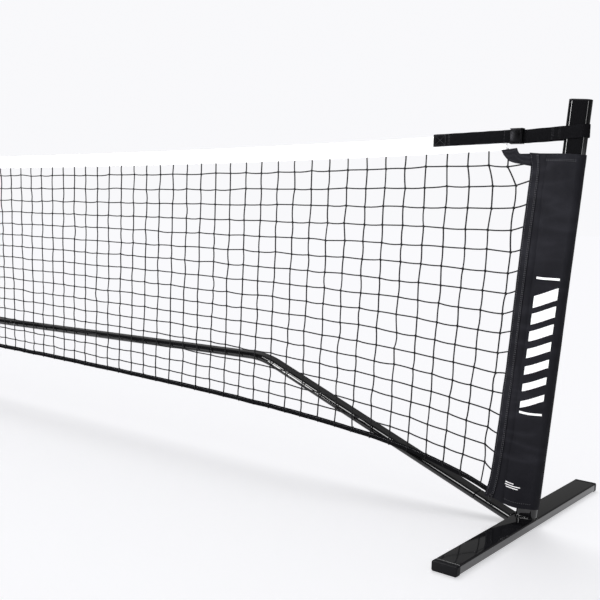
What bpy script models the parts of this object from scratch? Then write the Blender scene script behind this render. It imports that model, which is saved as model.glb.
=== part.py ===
"""A portable pickleball net on a take-apart steel frame.

X runs along the net, Y from the front to the back and Z up, in metres. The origin is on the floor at
the net's middle. Each end has a floor beam, a leaning post and a brace tube that bends into a rail. The
rails meet in a coupler on a small centre stand, and a net with a white headband is strapped between the
posts. Every piece of the right end (+X) is made again, mirrored, for the left end.
"""

import math

import bmesh
import bpy
from mathutils import Matrix, Vector

# Overall size
HALF_SPAN = 3.34  # net's middle to a post's centre line, at the floor
POST_LEAN = math.radians(4.2)  # each post leans outward
POST_TOP = 0.978  # along the post's own axis
FIT_GAP = 0.0003  # running clearance between a piece and its neighbour
WALL = 0.0015  # steel tube wall

# Flat-oval tubes: long side, short side
POST_TUBE = (0.052, 0.026)
RAIL_TUBE = (0.0445, 0.0195)
ARC_STEPS = 6  # facets in each rounded side of an oval

# Floor beams
BEAM_WIDTH = 0.058
BEAM_TOP = 0.0220
BEAM_BOTTOM = 0.0015
BEAM_CORNER = 0.0045
END_BEAM_LENGTH = 0.780
CENTRE_BEAM_LENGTH = 0.500
CAP_LENGTH = 0.014
CAP_PLUG = 0.026
CAP_BEVEL = 0.0015

# Post and the stub that it slides over
STUB_COLLAR = (0.0495, 0.0245)
POST_FOOT = 0.054  # where the post starts, along its axis
STUB_LENGTH = 0.165
POST_BUTTON_HEIGHT = 0.105
CAP_HEAD = 0.0035
CAP_EASE = 0.0010
POST_CAP_PLUG = 0.018

# Brace and rail: one line of tubes, as (distance from the net's middle, height)
BRACE_FOOT = Vector((HALF_SPAN - 0.043, 0.0165))
BRACE_BEND = Vector((HALF_SPAN - 0.805, 0.2995))
RAIL_CENTRE = Vector((0.0, 0.251))
BEND_RADIUS = 0.24
BEND_STEPS = 7
BRACE_STUB_END = 0.085  # along the brace, from its foot point
WELD_GAP = 0.0009  # between the brace stub and the beam that it is welded to
SPIGOT_LENGTH = 0.070
SHOULDER = 0.0025  # length of the swaged step from tube to spigot
BRACE_END = HALF_SPAN - 1.000
RAIL_JOINT = HALF_SPAN - 2.000
BUTTON_INSET = 0.027  # a button's centre, in from its tube's mouth
COUPLER_HALF = 0.075
RAIL_END = 0.004
COUPLER_BUTTON = 0.050

# Snap buttons
BUTTON_RADIUS = 0.0038
BUTTON_PROUD = 0.0030
BUTTON_DOME = 0.0014
BUTTON_FLANGE = 0.0052
BUTTON_HOLE = 0.0042
BUTTON_STEPS = 14
FLANGE_DEPTH = 0.0047  # from the inner tube's bore to the flange, so that the button can be pressed in
POST_BUTTON_REACH = 0.0045

# Net
NET_Y = -0.0270
HEADBAND_END = HALF_SPAN - 0.085
HEADBAND_HEIGHT = 0.0415
HEADBAND_THICK = 0.004
TOP_AT_END = 0.9075
TOP_AT_CENTRE = 0.8780
BAND_HEIGHT = 0.014
BAND_THICK = 0.003
BAND_LOW = 0.0735
BAND_RISES = ((0.046, 0.17), (0.072, 0.60))  # each is (rise, the length that it takes)
SAG_POWER = 4  # the headband dips mostly near its ends, where the straps pull it up
PLACE_POWER = 1.8  # above 1 it puts the net's outline points closer together near its ends
PANEL_THICK = 0.002
NET_STEPS = 26
PANEL_CORNER = 0.855  # top of the net beside the sleeve
SEW_GAP = 0.0008

# Sleeve, along and across the post's axis
SLEEVE_LOW = 0.048
SLEEVE_HIGH = 0.859
SLEEVE_CLOTH = 0.0012
SLEEVE_HOLE = (0.0545, 0.0305)
SLEEVE_HOLE_Y = 0.0012
SLEEVE_TAIL = 0.083
TAIL_THICK = 0.0024
SLEEVE_WRAP = 0.8  # share of the post's inner side that the back layer follows

# Strap and cam buckle, measured from the floor point of the post
STRAP_MIDDLE = 0.897
STRAP_HEIGHT = 0.029
STRAP_THICK = 0.0016
STRAP_SEWN_END = -0.2735
STRAP_ON_POST = 0.905  # height of the strap's middle where it goes round the post
STRAP_RISE = 0.075  # from the buckle to the post
STRAP_FALL = 0.027  # from the buckle along the headband
STRAP_CLEAR = 0.0006
BUCKLE_LEFT = -0.0750
BUCKLE_RIGHT = -0.0440
BUCKLE_HEIGHT = 0.035
BUCKLE_FRONT = -0.0355
BUCKLE_BACK = -0.0232
BUCKLE_PLATE = 0.0013
BUCKLE_FLANGE = 0.0024
PIN_RADIUS = 0.0014
ANCHOR_BAR = Vector((-0.0719, -0.0288))
CAM_PIVOT = Vector((-0.0490, -0.0322))
CAM_RADIUS = 0.0042
CAM_BORE = 0.0018
LEVER_THICK = 0.0018

SIDES = {"right": 1, "left": -1}


def clear_scene():
    for old in list(bpy.data.objects):
        bpy.data.objects.remove(old, do_unlink=True)


def new_collection(name, hidden=False):
    collection = bpy.data.collections.new(name)
    bpy.context.scene.collection.children.link(collection)
    collection.hide_render = hidden
    return collection


def new_material(name, colour, roughness, metallic=0.0):
    made = bpy.data.materials.new(name)
    made.use_nodes = True
    shader = made.node_tree.nodes["Principled BSDF"]
    shader.inputs["Base Color"].default_value = (*colour, 1.0)
    shader.inputs["Roughness"].default_value = roughness
    shader.inputs["Metallic"].default_value = metallic
    return made


clear_scene()
PARTS = new_collection("portable_pickleball_net")
CUTTERS = new_collection("cutters", hidden=True)
PAINT = new_material("black_paint", (0.014, 0.014, 0.016), 0.28)
CAP_PLASTIC = new_material("cap_plastic", (0.020, 0.020, 0.023), 0.50)
BUTTON_STEEL = new_material("button_steel", (0.60, 0.60, 0.62), 0.30, 1.0)
BUCKLE_METAL = new_material("buckle_metal", (0.020, 0.020, 0.022), 0.38)
SLEEVE_FABRIC = new_material("sleeve_fabric", (0.020, 0.020, 0.026), 0.75)
WEBBING = new_material("webbing", (0.012, 0.012, 0.013), 0.85)
HEADBAND_VINYL = new_material("headband_vinyl", (0.86, 0.86, 0.86), 0.55)
NET_TWINE = new_material("net_twine", (0.015, 0.015, 0.016), 0.80)


def link_part(name, data, material, parent=None):
    made = bpy.data.objects.new(name, data)
    data.materials.append(material)
    PARTS.objects.link(made)
    made.parent = parent
    return made


def link_empty(name, matrix):
    made = bpy.data.objects.new(name, None)
    made.empty_display_size = 0.05
    made.matrix_world = matrix
    PARTS.objects.link(made)
    return made


# Cross-sections: points of a closed ring, anticlockwise


def oval_section(size):
    """A flat oval with its long side along the first axis."""
    width, height = size
    radius = height / 2
    centre = width / 2 - radius
    ring = []
    for sign, start in ((1, -math.pi / 2), (-1, math.pi / 2)):
        for step in range(ARC_STEPS + 1):
            angle = start + math.pi * step / ARC_STEPS
            ring.append((sign * centre + radius * math.cos(angle), radius * math.sin(angle)))
    return ring


def box_section(width, low, high, corner, corner_steps=3):
    """A rectangle with rounded corners, centred across its width."""
    across = width / 2 - corner
    corners = (
        (across, low + corner, -math.pi / 2),
        (across, high - corner, 0.0),
        (-across, high - corner, math.pi / 2),
        (-across, low + corner, math.pi),
    )
    ring = []
    for x, z, start in corners:
        for step in range(corner_steps + 1):
            angle = start + math.pi / 2 * step / corner_steps
            ring.append((x + corner * math.cos(angle), z + corner * math.sin(angle)))
    return ring


def inset(size, by):
    return (size[0] - 2 * by, size[1] - 2 * by)


def loft_mesh(name, rings, solid):
    """A skin through rings that have the same number of points. A solid one has both its ends filled."""
    mesh = bmesh.new()
    rows = [[mesh.verts.new(point) for point in ring] for ring in rings]
    for lower, upper in zip(rows, rows[1:]):
        for i, point in enumerate(lower):
            j = (i + 1) % len(lower)
            mesh.faces.new((point, lower[j], upper[j], upper[i]))
    if solid:
        mesh.faces.new(rows[0])
        mesh.faces.new(rows[-1])
    bmesh.ops.recalc_face_normals(mesh, faces=mesh.faces)
    data = bpy.data.meshes.new(name)
    mesh.to_mesh(data)
    mesh.free()
    data.shade_smooth()
    data.set_sharp_from_angle(angle=math.radians(40))
    return data


def shell(name, rings, material, parent=None, wall=WALL):
    """An open-ended tube: the rings give its outer skin, and the wall grows inward."""
    made = link_part(name, loft_mesh(name, rings, solid=False), material, parent)
    solidify = made.modifiers.new("wall", "SOLIDIFY")
    solidify.thickness = wall
    solidify.offset = -1.0
    solidify.use_even_offset = True
    return made


def solid_loft(name, rings, material, parent=None):
    return link_part(name, loft_mesh(name, rings, solid=True), material, parent)


def boolean(target, cutter, operation="DIFFERENCE"):
    modifier = target.modifiers.new(cutter.name, "BOOLEAN")
    modifier.operation = operation
    modifier.object = cutter
    modifier.solver = "EXACT"


def helper(name, mesh, matrix):
    """A hidden mesh that a Boolean uses."""
    data = bpy.data.meshes.new(name)
    mesh.to_mesh(data)
    mesh.free()
    made = bpy.data.objects.new(name, data)
    made.matrix_world = matrix
    made.hide_render = True
    made.display_type = "WIRE"
    CUTTERS.objects.link(made)
    return made


def cylinder_helper(name, radius, length, matrix, sides=16):
    mesh = bmesh.new()
    bmesh.ops.create_cone(
        mesh, cap_ends=True, segments=sides, radius1=radius, radius2=radius, depth=length
    )
    return helper(name, mesh, matrix)


def box_helper(name, low, high):
    mesh = bmesh.new()
    bmesh.ops.create_cube(mesh, size=1.0)
    size = high - low
    bmesh.ops.scale(mesh, vec=size, verts=mesh.verts)
    bmesh.ops.translate(mesh, vec=(low + high) / 2, verts=mesh.verts)
    return helper(name, mesh, Matrix.Identity(4))


def mirrored(point, sign):
    return Vector((sign * point.x, point.y, point.z))


# Floor beams


def beam_ring(y, x, section):
    return [Vector((x + u, y, v)) for u, v in section]


def floor_beam(name, x, length):
    half = length / 2 - CAP_LENGTH - FIT_GAP
    outside = box_section(BEAM_WIDTH, BEAM_BOTTOM, BEAM_TOP, BEAM_CORNER)
    shell(name, [beam_ring(y, x, outside) for y in (-half, half)], PAINT)


def beam_cap(name, x, length, facing):
    """A moulded end cap: a rounded head that stands on the floor, and a plug inside the beam."""
    end = length / 2
    face = box_section(
        BEAM_WIDTH - 2 * CAP_BEVEL, CAP_BEVEL, BEAM_TOP - CAP_BEVEL, BEAM_CORNER - CAP_BEVEL
    )
    head = box_section(BEAM_WIDTH, 0.0, BEAM_TOP, BEAM_CORNER)
    fit = WALL + FIT_GAP
    plug = box_section(
        BEAM_WIDTH - 2 * fit, BEAM_BOTTOM + fit, BEAM_TOP - fit, BEAM_CORNER - fit
    )
    rings = (
        (end, face),
        (end - CAP_BEVEL, head),
        (end - CAP_LENGTH, head),
        (end - CAP_LENGTH, plug),
        (end - CAP_LENGTH - CAP_PLUG, plug),
    )
    solid_loft(name, [beam_ring(facing * y, x, section) for y, section in rings], CAP_PLASTIC)


def foot(prefix, x, length):
    floor_beam(f"{prefix}_foot_beam", x, length)
    beam_cap(f"{prefix}_foot_cap_front", x, length, -1)
    beam_cap(f"{prefix}_foot_cap_back", x, length, 1)


# Snap buttons


def snap_button(name, matrix, reach):
    """A domed pin that stands proud of the outer tube, with a flange that holds it inside the inner one.

    The matrix puts its origin on the outer tube's surface, with local Z outward. Reach is how far the
    flange's face lies below that surface.
    """
    dome = [
        (
            BUTTON_RADIUS * math.sin(angle),
            BUTTON_PROUD - BUTTON_DOME * (1 - math.cos(angle)),
        )
        for angle in (math.pi / 2 * step / 3 for step in range(4))
    ]
    profile = dome + [
        (BUTTON_RADIUS, -reach),
        (BUTTON_FLANGE, -reach),
        (BUTTON_FLANGE, -reach - 0.001),
        (0.0, -reach - 0.001),
    ]
    mesh = bmesh.new()
    points = [mesh.verts.new((radius, 0.0, height)) for radius, height in profile]
    for first, second in zip(points, points[1:]):
        mesh.edges.new((first, second))
    data = bpy.data.meshes.new(name)
    mesh.to_mesh(data)
    mesh.free()
    made = link_part(name, data, BUTTON_STEEL)
    made.matrix_world = matrix
    screw = made.modifiers.new("turn", "SCREW")
    screw.steps = BUTTON_STEPS
    screw.render_steps = BUTTON_STEPS
    screw.use_merge_vertices = True
    screw.merge_threshold = 0.0001


def button_with_holes(name, matrix, reach, tubes):
    snap_button(name, matrix, reach)
    inward = matrix @ Matrix.Translation((0.0, 0.0, -reach / 2))
    cutter = cylinder_helper(f"{name}_hole", BUTTON_HOLE, reach + 0.006, inward)
    for tube in tubes:
        boolean(tube, cutter)


def outward_matrix(point, facing):
    """Local Z along facing * Y."""
    return Matrix.Translation(point) @ Matrix.Rotation(-facing * math.pi / 2, 4, "X")


# Post, its stub and its cap, in a frame that leans with the post


def post_frame(sign):
    return Matrix.Translation((sign * HALF_SPAN, 0.0, 0.0)) @ Matrix.Rotation(
        sign * POST_LEAN, 4, "Y"
    )


def level_ring(section, sign, height):
    """A ring in the post's frame whose points all lie level at a height above the floor."""
    ring = []
    for u, v in section:
        along = (height + sign * u * math.sin(POST_LEAN)) / math.cos(POST_LEAN)
        ring.append(Vector((u, v, along)))
    return ring


def axis_ring(section, along):
    return [Vector((u, v, along)) for u, v in section]


def post_set(prefix, sign, frame):
    spigot = inset(POST_TUBE, WALL + FIT_GAP)
    shoulder = POST_FOOT - FIT_GAP
    stub = shell(
        f"{prefix}_post_stub",
        [
            level_ring(oval_section(STUB_COLLAR), sign, BEAM_TOP + FIT_GAP),
            axis_ring(oval_section(STUB_COLLAR), shoulder - SHOULDER),
            axis_ring(oval_section(spigot), shoulder),
            axis_ring(oval_section(spigot), STUB_LENGTH),
        ],
        PAINT,
        frame,
    )
    top = POST_TOP - CAP_HEAD - FIT_GAP
    tube = shell(
        f"{prefix}_post_tube",
        [axis_ring(oval_section(POST_TUBE), along) for along in (POST_FOOT, top)],
        PAINT,
        frame,
    )
    plug = inset(POST_TUBE, WALL + FIT_GAP)
    head_low = POST_TOP - CAP_HEAD
    solid_loft(
        f"{prefix}_post_cap",
        [
            axis_ring(oval_section(plug), head_low - POST_CAP_PLUG),
            axis_ring(oval_section(plug), head_low),
            axis_ring(oval_section(POST_TUBE), head_low),
            axis_ring(oval_section(POST_TUBE), POST_TOP - CAP_EASE),
            axis_ring(oval_section(inset(POST_TUBE, CAP_EASE)), POST_TOP),
        ],
        CAP_PLASTIC,
        frame,
    )
    back = outward_matrix(Vector((0.0, POST_TUBE[1] / 2, POST_BUTTON_HEIGHT)), 1)
    button_with_holes(
        f"{prefix}_button_post", frame.matrix_world @ back, POST_BUTTON_REACH, (stub, tube)
    )


# Brace and rail tubes


class TubeLine:
    """The centre line of one end's brace and rail, in the plane of X and Z."""

    def __init__(self, sign):
        self.sign = sign
        self.down = (BRACE_BEND - BRACE_FOOT).normalized()
        self.level = (RAIL_CENTRE - BRACE_BEND).normalized()
        turn = self.down.angle(self.level)
        self.bend_reach = BEND_RADIUS * math.tan(turn / 2)

    def on_brace(self, along):
        return BRACE_FOOT + self.down * along, self.down

    def on_rail(self, x):
        steps = (BRACE_BEND.x - x) / -self.level.x
        return BRACE_BEND + self.level * steps, self.level

    def bend(self):
        """Points round the bend, as a quadratic curve between its two tangent points."""
        start = BRACE_BEND - self.down * self.bend_reach
        end = BRACE_BEND + self.level * self.bend_reach
        for step in range(BEND_STEPS + 1):
            t = step / BEND_STEPS
            point = start * (1 - t) ** 2 + BRACE_BEND * (2 * t * (1 - t)) + end * t**2
            yield point, (self.down * (1 - t) + self.level * t).normalized()

    def place(self, point, y, up, direction):
        normal = Vector((direction.y, -direction.x))
        x, z = point + normal * up
        return Vector((self.sign * x, y, z))

    def ring(self, station, size):
        point, direction = station
        return [self.place(point, u, v, direction) for u, v in oval_section(size)]

    def upright_ring(self, station, size, x):
        """A ring slid along the tube until every point lies at one distance from the net's middle."""
        ring = self.ring(station, size)
        direction = station[1]
        for point in ring:
            slide = (x - self.sign * point.x) / direction.x
            point.x += self.sign * direction.x * slide
            point.z += direction.y * slide
        return ring

    def spigot_rings(self, station):
        """The swaged step and the spigot that follow a station, along its direction."""
        point, direction = station
        spigot = inset(RAIL_TUBE, WALL + FIT_GAP)
        shoulder = (point + direction * SHOULDER, direction)
        tip = (point + direction * SPIGOT_LENGTH, direction)
        return [self.ring(shoulder, spigot), self.ring(tip, spigot)]

    def button_matrix(self, station, facing, width):
        point = self.place(station[0], facing * width / 2, 0.0, station[1])
        return outward_matrix(point, facing)


def brace_and_rails(prefix, sign):
    line = TubeLine(sign)
    beam_side = HALF_SPAN - BEAM_WIDTH / 2 - WELD_GAP
    seam = line.on_brace(BRACE_STUB_END)
    stub = shell(
        f"{prefix}_brace_stub",
        [
            line.upright_ring(line.on_brace(0.0), RAIL_TUBE, beam_side),
            line.ring(seam, RAIL_TUBE),
            *line.spigot_rings(seam),
        ],
        PAINT,
    )
    brace_end = line.on_rail(BRACE_END)
    stations = [line.on_brace(BRACE_STUB_END + SHOULDER + FIT_GAP), *line.bend(), brace_end]
    brace = shell(
        f"{prefix}_brace_tube",
        [line.ring(station, RAIL_TUBE) for station in stations] + line.spigot_rings(brace_end),
        PAINT,
    )
    outer_start = line.on_rail(BRACE_END - SHOULDER - FIT_GAP)
    outer_end = line.on_rail(RAIL_JOINT)
    outer = shell(
        f"{prefix}_rail_outer",
        [line.ring(outer_start, RAIL_TUBE), line.ring(outer_end, RAIL_TUBE)],
        PAINT,
    )
    inner_mouth = line.on_rail(RAIL_JOINT - SHOULDER - FIT_GAP)
    spigot = inset(RAIL_TUBE, WALL + FIT_GAP)
    tip = (inner_mouth[0] - inner_mouth[1] * SPIGOT_LENGTH, inner_mouth[1])
    shoulder = (inner_mouth[0] - inner_mouth[1] * SHOULDER, inner_mouth[1])
    inner = shell(
        f"{prefix}_rail_inner",
        [
            line.ring(tip, spigot),
            line.ring(shoulder, spigot),
            line.ring(inner_mouth, RAIL_TUBE),
            line.ring(line.on_rail(RAIL_END), RAIL_TUBE),
        ],
        PAINT,
    )
    reach = 2 * WALL + FIT_GAP + FLANGE_DEPTH
    button_with_holes(
        f"{prefix}_button_brace",
        line.button_matrix(line.on_brace(BRACE_STUB_END + BUTTON_INSET), 1, RAIL_TUBE[0]),
        reach,
        (stub, brace),
    )
    button_with_holes(
        f"{prefix}_button_rail_outer",
        line.button_matrix(line.on_rail(BRACE_END - BUTTON_INSET), 1, RAIL_TUBE[0]),
        reach,
        (brace, outer),
    )
    button_with_holes(
        f"{prefix}_button_rail_inner",
        line.button_matrix(line.on_rail(RAIL_JOINT + BUTTON_INSET), -1, RAIL_TUBE[0]),
        reach,
        (outer, inner),
    )
    return line, inner


# Centre stand


def centre_stand(ends):
    foot("centre", 0.0, CENTRE_BEAM_LENGTH)
    right_line = ends["right"][0]
    coupler_size = inset(RAIL_TUBE, -(WALL + FIT_GAP))
    rings = []
    for x in (COUPLER_HALF, 0.0, -COUPLER_HALF):
        point, direction = right_line.on_rail(abs(x))
        if x == 0.0:
            direction = Vector((-1.0, 0.0))
        ring = right_line.ring((point, direction), coupler_size)
        rings.append([mirrored(p, -1) for p in ring] if x < 0 else ring)
    coupler = shell("centre_coupler", rings, PAINT)
    low = BEAM_TOP + FIT_GAP
    high = RAIL_CENTRE.y - coupler_size[1] / 2 - FIT_GAP
    shell(
        "centre_upright",
        [axis_ring(oval_section(RAIL_TUBE), z) for z in (low, high)],
        PAINT,
    )
    for prefix, (line, inner) in ends.items():
        button_with_holes(
            f"{prefix}_button_centre",
            line.button_matrix(line.on_rail(COUPLER_BUTTON), 1, coupler_size[0]),
            2 * WALL + FIT_GAP + FLANGE_DEPTH,
            (coupler, inner),
        )


# Net: headband, panel and bottom band, as flat plates that stand in the plane of X and Z


def top_height(x):
    return TOP_AT_CENTRE + (TOP_AT_END - TOP_AT_CENTRE) * (x / HEADBAND_END) ** SAG_POWER


def band_height(x):
    away = HEADBAND_END - min(abs(x), HEADBAND_END)
    return BAND_LOW + sum(rise * (1 - math.exp(-away / length)) for rise, length in BAND_RISES)


def net_xs(end):
    """Places along the net, closer together near its ends, where the lower edge curves."""
    places = []
    for step in range(NET_STEPS + 1):
        t = 2 * step / NET_STEPS - 1
        places.append(end * math.copysign(1 - (1 - abs(t)) ** PLACE_POWER, t))
    return places


def standing_plate(name, outline, y, thickness, material):
    """A flat outline of (x, z) points, made thick along Y."""
    curve = bpy.data.curves.new(name, "CURVE")
    curve.dimensions = "2D"
    curve.fill_mode = "BOTH"
    curve.extrude = thickness / 2
    spline = curve.splines.new("POLY")
    spline.points.add(len(outline) - 1)
    for point, (x, z) in zip(spline.points, outline):
        point.co = (x, z, 0.0, 1.0)
    spline.use_cyclic_u = True
    made = link_part(name, curve, material)
    made.location = (0.0, y, 0.0)
    made.rotation_euler = (math.pi / 2, 0.0, 0.0)


def strip_outline(places, low, high):
    return [(x, low(x)) for x in places] + [(x, high(x)) for x in reversed(places)]


def sleeve_edge(height):
    """How far from the net's middle the sleeve's inner edge is, at a height."""
    return HALF_SPAN + height * math.tan(POST_LEAN) - SLEEVE_TAIL / math.cos(POST_LEAN)


def net_set():
    half_band = BAND_HEIGHT / 2
    panel_end = HEADBAND_END - SEW_GAP
    places = net_xs(panel_end)

    def headband_low(x):
        return top_height(x) - HEADBAND_HEIGHT

    def panel_low(x):
        return band_height(x) + half_band + SEW_GAP

    standing_plate(
        "net_headband",
        strip_outline([-HEADBAND_END, *places, HEADBAND_END], headband_low, top_height),
        NET_Y,
        HEADBAND_THICK,
        HEADBAND_VINYL,
    )
    band_end = sleeve_edge(BAND_LOW - half_band) - SEW_GAP
    standing_plate(
        "net_bottom_band",
        strip_outline(
            [-band_end, *places, band_end],
            lambda x: band_height(x) - half_band,
            lambda x: band_height(x) + half_band,
        ),
        NET_Y,
        BAND_THICK,
        WEBBING,
    )
    low_end = sleeve_edge(panel_low(HEADBAND_END)) - SEW_GAP
    top_end = sleeve_edge(SLEEVE_HIGH) - SEW_GAP
    outline = [(-low_end, panel_low(low_end))]
    outline += [(x, panel_low(x)) for x in places]
    outline += [(low_end, panel_low(low_end)), (top_end, PANEL_CORNER)]
    outline += [(x, headband_low(x) - SEW_GAP) for x in reversed(places)]
    outline.append((-top_end, PANEL_CORNER))
    standing_plate("net_panel", outline, NET_Y, PANEL_THICK, NET_TWINE)


# Sleeve, strap and buckle of one end


def plan_spline(curve, outline):
    spline = curve.splines.new("POLY")
    spline.points.add(len(outline) - 1)
    for point, (x, y) in zip(spline.points, outline):
        point.co = (x, y, 0.0, 1.0)
    spline.use_cyclic_u = True


def sleeve(prefix, sign, frame):
    """Cloth round the post, both layers sewn together in a flat tail that reaches the net's edge."""
    outer = inset(SLEEVE_HOLE, -SLEEVE_CLOTH)
    radius = outer[1] / 2
    centre = outer[0] / 2 - radius
    around = [(-centre, -radius)]
    for step in range(ARC_STEPS + 1):
        angle = -math.pi / 2 + math.pi * step / ARC_STEPS
        around.append((centre + radius * math.cos(angle), radius * math.sin(angle)))
    for step in range(ARC_STEPS):
        angle = math.pi / 2 + math.pi * step / ARC_STEPS * SLEEVE_WRAP
        around.append((-centre + radius * math.cos(angle), radius * math.sin(angle)))
    outline = [(x, y + SLEEVE_HOLE_Y) for x, y in around]
    outline.append((-SLEEVE_TAIL, NET_Y + TAIL_THICK / 2))
    outline.append((-SLEEVE_TAIL, NET_Y - TAIL_THICK / 2))
    hole = [(x, y + SLEEVE_HOLE_Y) for x, y in oval_section(SLEEVE_HOLE)]
    curve = bpy.data.curves.new(f"{prefix}_sleeve", "CURVE")
    curve.dimensions = "2D"
    curve.fill_mode = "BOTH"
    curve.extrude = (SLEEVE_HIGH - SLEEVE_LOW) / 2
    plan_spline(curve, [(sign * x, y) for x, y in outline])
    plan_spline(curve, [(sign * x, y) for x, y in hole])
    made = link_part(f"{prefix}_sleeve", curve, SLEEVE_FABRIC, frame)
    made.location = (0.0, 0.0, (SLEEVE_HIGH + SLEEVE_LOW) / 2)


def strap_lift(x):
    """How far the strap's middle is above its height in the buckle: it rises to the post."""
    rise = STRAP_RISE * max(0.0, x - BUCKLE_RIGHT - 0.003)
    return rise - STRAP_FALL * max(0.0, BUCKLE_LEFT - 0.010 - x)


def ribbon(name, path, sign):
    """Webbing on edge along a plan path of (x from the post's floor point, y) points."""
    mesh = bmesh.new()
    rows = []
    for offset in (-STRAP_HEIGHT / 2, STRAP_HEIGHT / 2):
        rows.append(
            [
                mesh.verts.new(
                    (sign * (HALF_SPAN + x), y, STRAP_MIDDLE + strap_lift(x) + offset)
                )
                for x, y in path
            ]
        )
    for i in range(len(path) - 1):
        mesh.faces.new((rows[0][i], rows[0][i + 1], rows[1][i + 1], rows[1][i]))
    data = bpy.data.meshes.new(name)
    mesh.to_mesh(data)
    mesh.free()
    made = link_part(name, data, WEBBING)
    solidify = made.modifiers.new("thickness", "SOLIDIFY")
    solidify.thickness = STRAP_THICK
    solidify.offset = 0.0
    solidify.use_even_offset = True


def arc(centre, radius, start, end, steps):
    for step in range(steps + 1):
        angle = math.radians(start + (end - start) * step / steps)
        yield (centre[0] + radius * math.cos(angle), centre[1] + radius * math.sin(angle))


def straps(prefix, sign):
    post_x = STRAP_ON_POST * math.tan(POST_LEAN)
    clear = STRAP_THICK / 2 + STRAP_CLEAR
    round_radius = POST_TUBE[1] / 2 + clear
    flat = POST_TUBE[0] / 2 - POST_TUBE[1] / 2 + 0.0012
    behind_tape = NET_Y + HEADBAND_THICK / 2 + STRAP_THICK / 2 + FIT_GAP
    through_cam = NET_Y + 0.0006
    path = [(ANCHOR_BAR.x + 0.0055, through_cam), (BUCKLE_RIGHT + 0.003, through_cam)]
    path.append((post_x - flat - 0.002, -round_radius))
    path += arc((post_x + flat, 0.0), round_radius, -90, 90, 8)
    path.append((post_x - flat - 0.003, round_radius + 0.0004))
    path.append((BUCKLE_LEFT - 0.012, behind_tape))
    path.append((BUCKLE_LEFT - 0.110, behind_tape))
    ribbon(f"{prefix}_strap_loop", path, sign)
    before_tape = NET_Y - HEADBAND_THICK / 2 - STRAP_THICK / 2 - FIT_GAP
    turn = PIN_RADIUS + STRAP_THICK / 2 + FIT_GAP
    tail = [(STRAP_SEWN_END, before_tape), (BUCKLE_LEFT - 0.008, before_tape)]
    tail += arc(ANCHOR_BAR, turn, -100, 80, 7)
    tail.append((BUCKLE_LEFT - 0.0055, ANCHOR_BAR.y + turn))
    ribbon(f"{prefix}_strap_tail", tail, sign)


def buckle(prefix, sign):
    """A cam buckle: a channel with two cross bars, and a lever that turns on the nearer one."""
    low = STRAP_MIDDLE - BUCKLE_HEIGHT / 2
    high = STRAP_MIDDLE + BUCKLE_HEIGHT / 2

    def block(name, x_low, x_high, y_low, y_high, z_low, z_high):
        ends = sorted((sign * (HALF_SPAN + x_low), sign * (HALF_SPAN + x_high)))
        return box_helper(
            f"{prefix}_{name}",
            Vector((ends[0], y_low, z_low)),
            Vector((ends[1], y_high, z_high)),
        )

    def upright(name, centre, radius, length):
        place = Matrix.Translation((sign * (HALF_SPAN + centre.x), centre.y, STRAP_MIDDLE))
        return cylinder_helper(f"{prefix}_{name}", radius, length, place)

    channel = block(
        "buckle_channel", BUCKLE_LEFT, BUCKLE_RIGHT, BUCKLE_FRONT, BUCKLE_BACK, low, high
    )
    frame = link_part(f"{prefix}_buckle_frame", channel.data.copy(), BUCKLE_METAL)
    inside = block(
        "buckle_inside",
        BUCKLE_LEFT - 0.01,
        BUCKLE_RIGHT + 0.01,
        BUCKLE_FRONT - 0.01,
        BUCKLE_BACK - BUCKLE_PLATE,
        low + BUCKLE_FLANGE,
        high - BUCKLE_FLANGE,
    )
    boolean(frame, inside)
    bar_length = BUCKLE_HEIGHT - BUCKLE_FLANGE
    boolean(frame, upright("anchor_bar", ANCHOR_BAR, PIN_RADIUS, bar_length), "UNION")
    boolean(frame, upright("cam_pin", CAM_PIVOT, PIN_RADIUS, bar_length), "UNION")
    lever_height = BUCKLE_HEIGHT - 2 * BUCKLE_FLANGE - 2 * FIT_GAP
    mesh = bmesh.new()
    bmesh.ops.create_cone(
        mesh, cap_ends=True, segments=20, radius1=CAM_RADIUS, radius2=CAM_RADIUS, depth=lever_height
    )
    data = bpy.data.meshes.new(f"{prefix}_buckle_lever")
    mesh.to_mesh(data)
    mesh.free()
    lever = link_part(f"{prefix}_buckle_lever", data, BUCKLE_METAL)
    lever.location = (sign * (HALF_SPAN + CAM_PIVOT.x), CAM_PIVOT.y, STRAP_MIDDLE)
    front = CAM_PIVOT.y - CAM_RADIUS
    plate = block(
        "lever_plate",
        BUCKLE_LEFT + 0.001,
        CAM_PIVOT.x,
        front,
        front + LEVER_THICK,
        STRAP_MIDDLE - lever_height / 2,
        STRAP_MIDDLE + lever_height / 2,
    )
    boolean(lever, plate, "UNION")
    boolean(lever, upright("lever_bore", CAM_PIVOT, CAM_BORE, BUCKLE_HEIGHT))


def main():
    ends = {}
    for prefix, sign in SIDES.items():
        foot(prefix, sign * HALF_SPAN, END_BEAM_LENGTH)
        frame = link_empty(f"{prefix}_post_axis", post_frame(sign))
        post_set(prefix, sign, frame)
        ends[prefix] = brace_and_rails(prefix, sign)
        sleeve(prefix, sign, frame)
        straps(prefix, sign)
        buckle(prefix, sign)
    centre_stand(ends)
    net_set()


main()
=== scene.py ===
"""A portable pickleball net: its visual model in the CAD frame, with materials, studio and camera."""

import math
import random

import bmesh
import bpy
from mathutils import Matrix, Vector, noise


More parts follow.
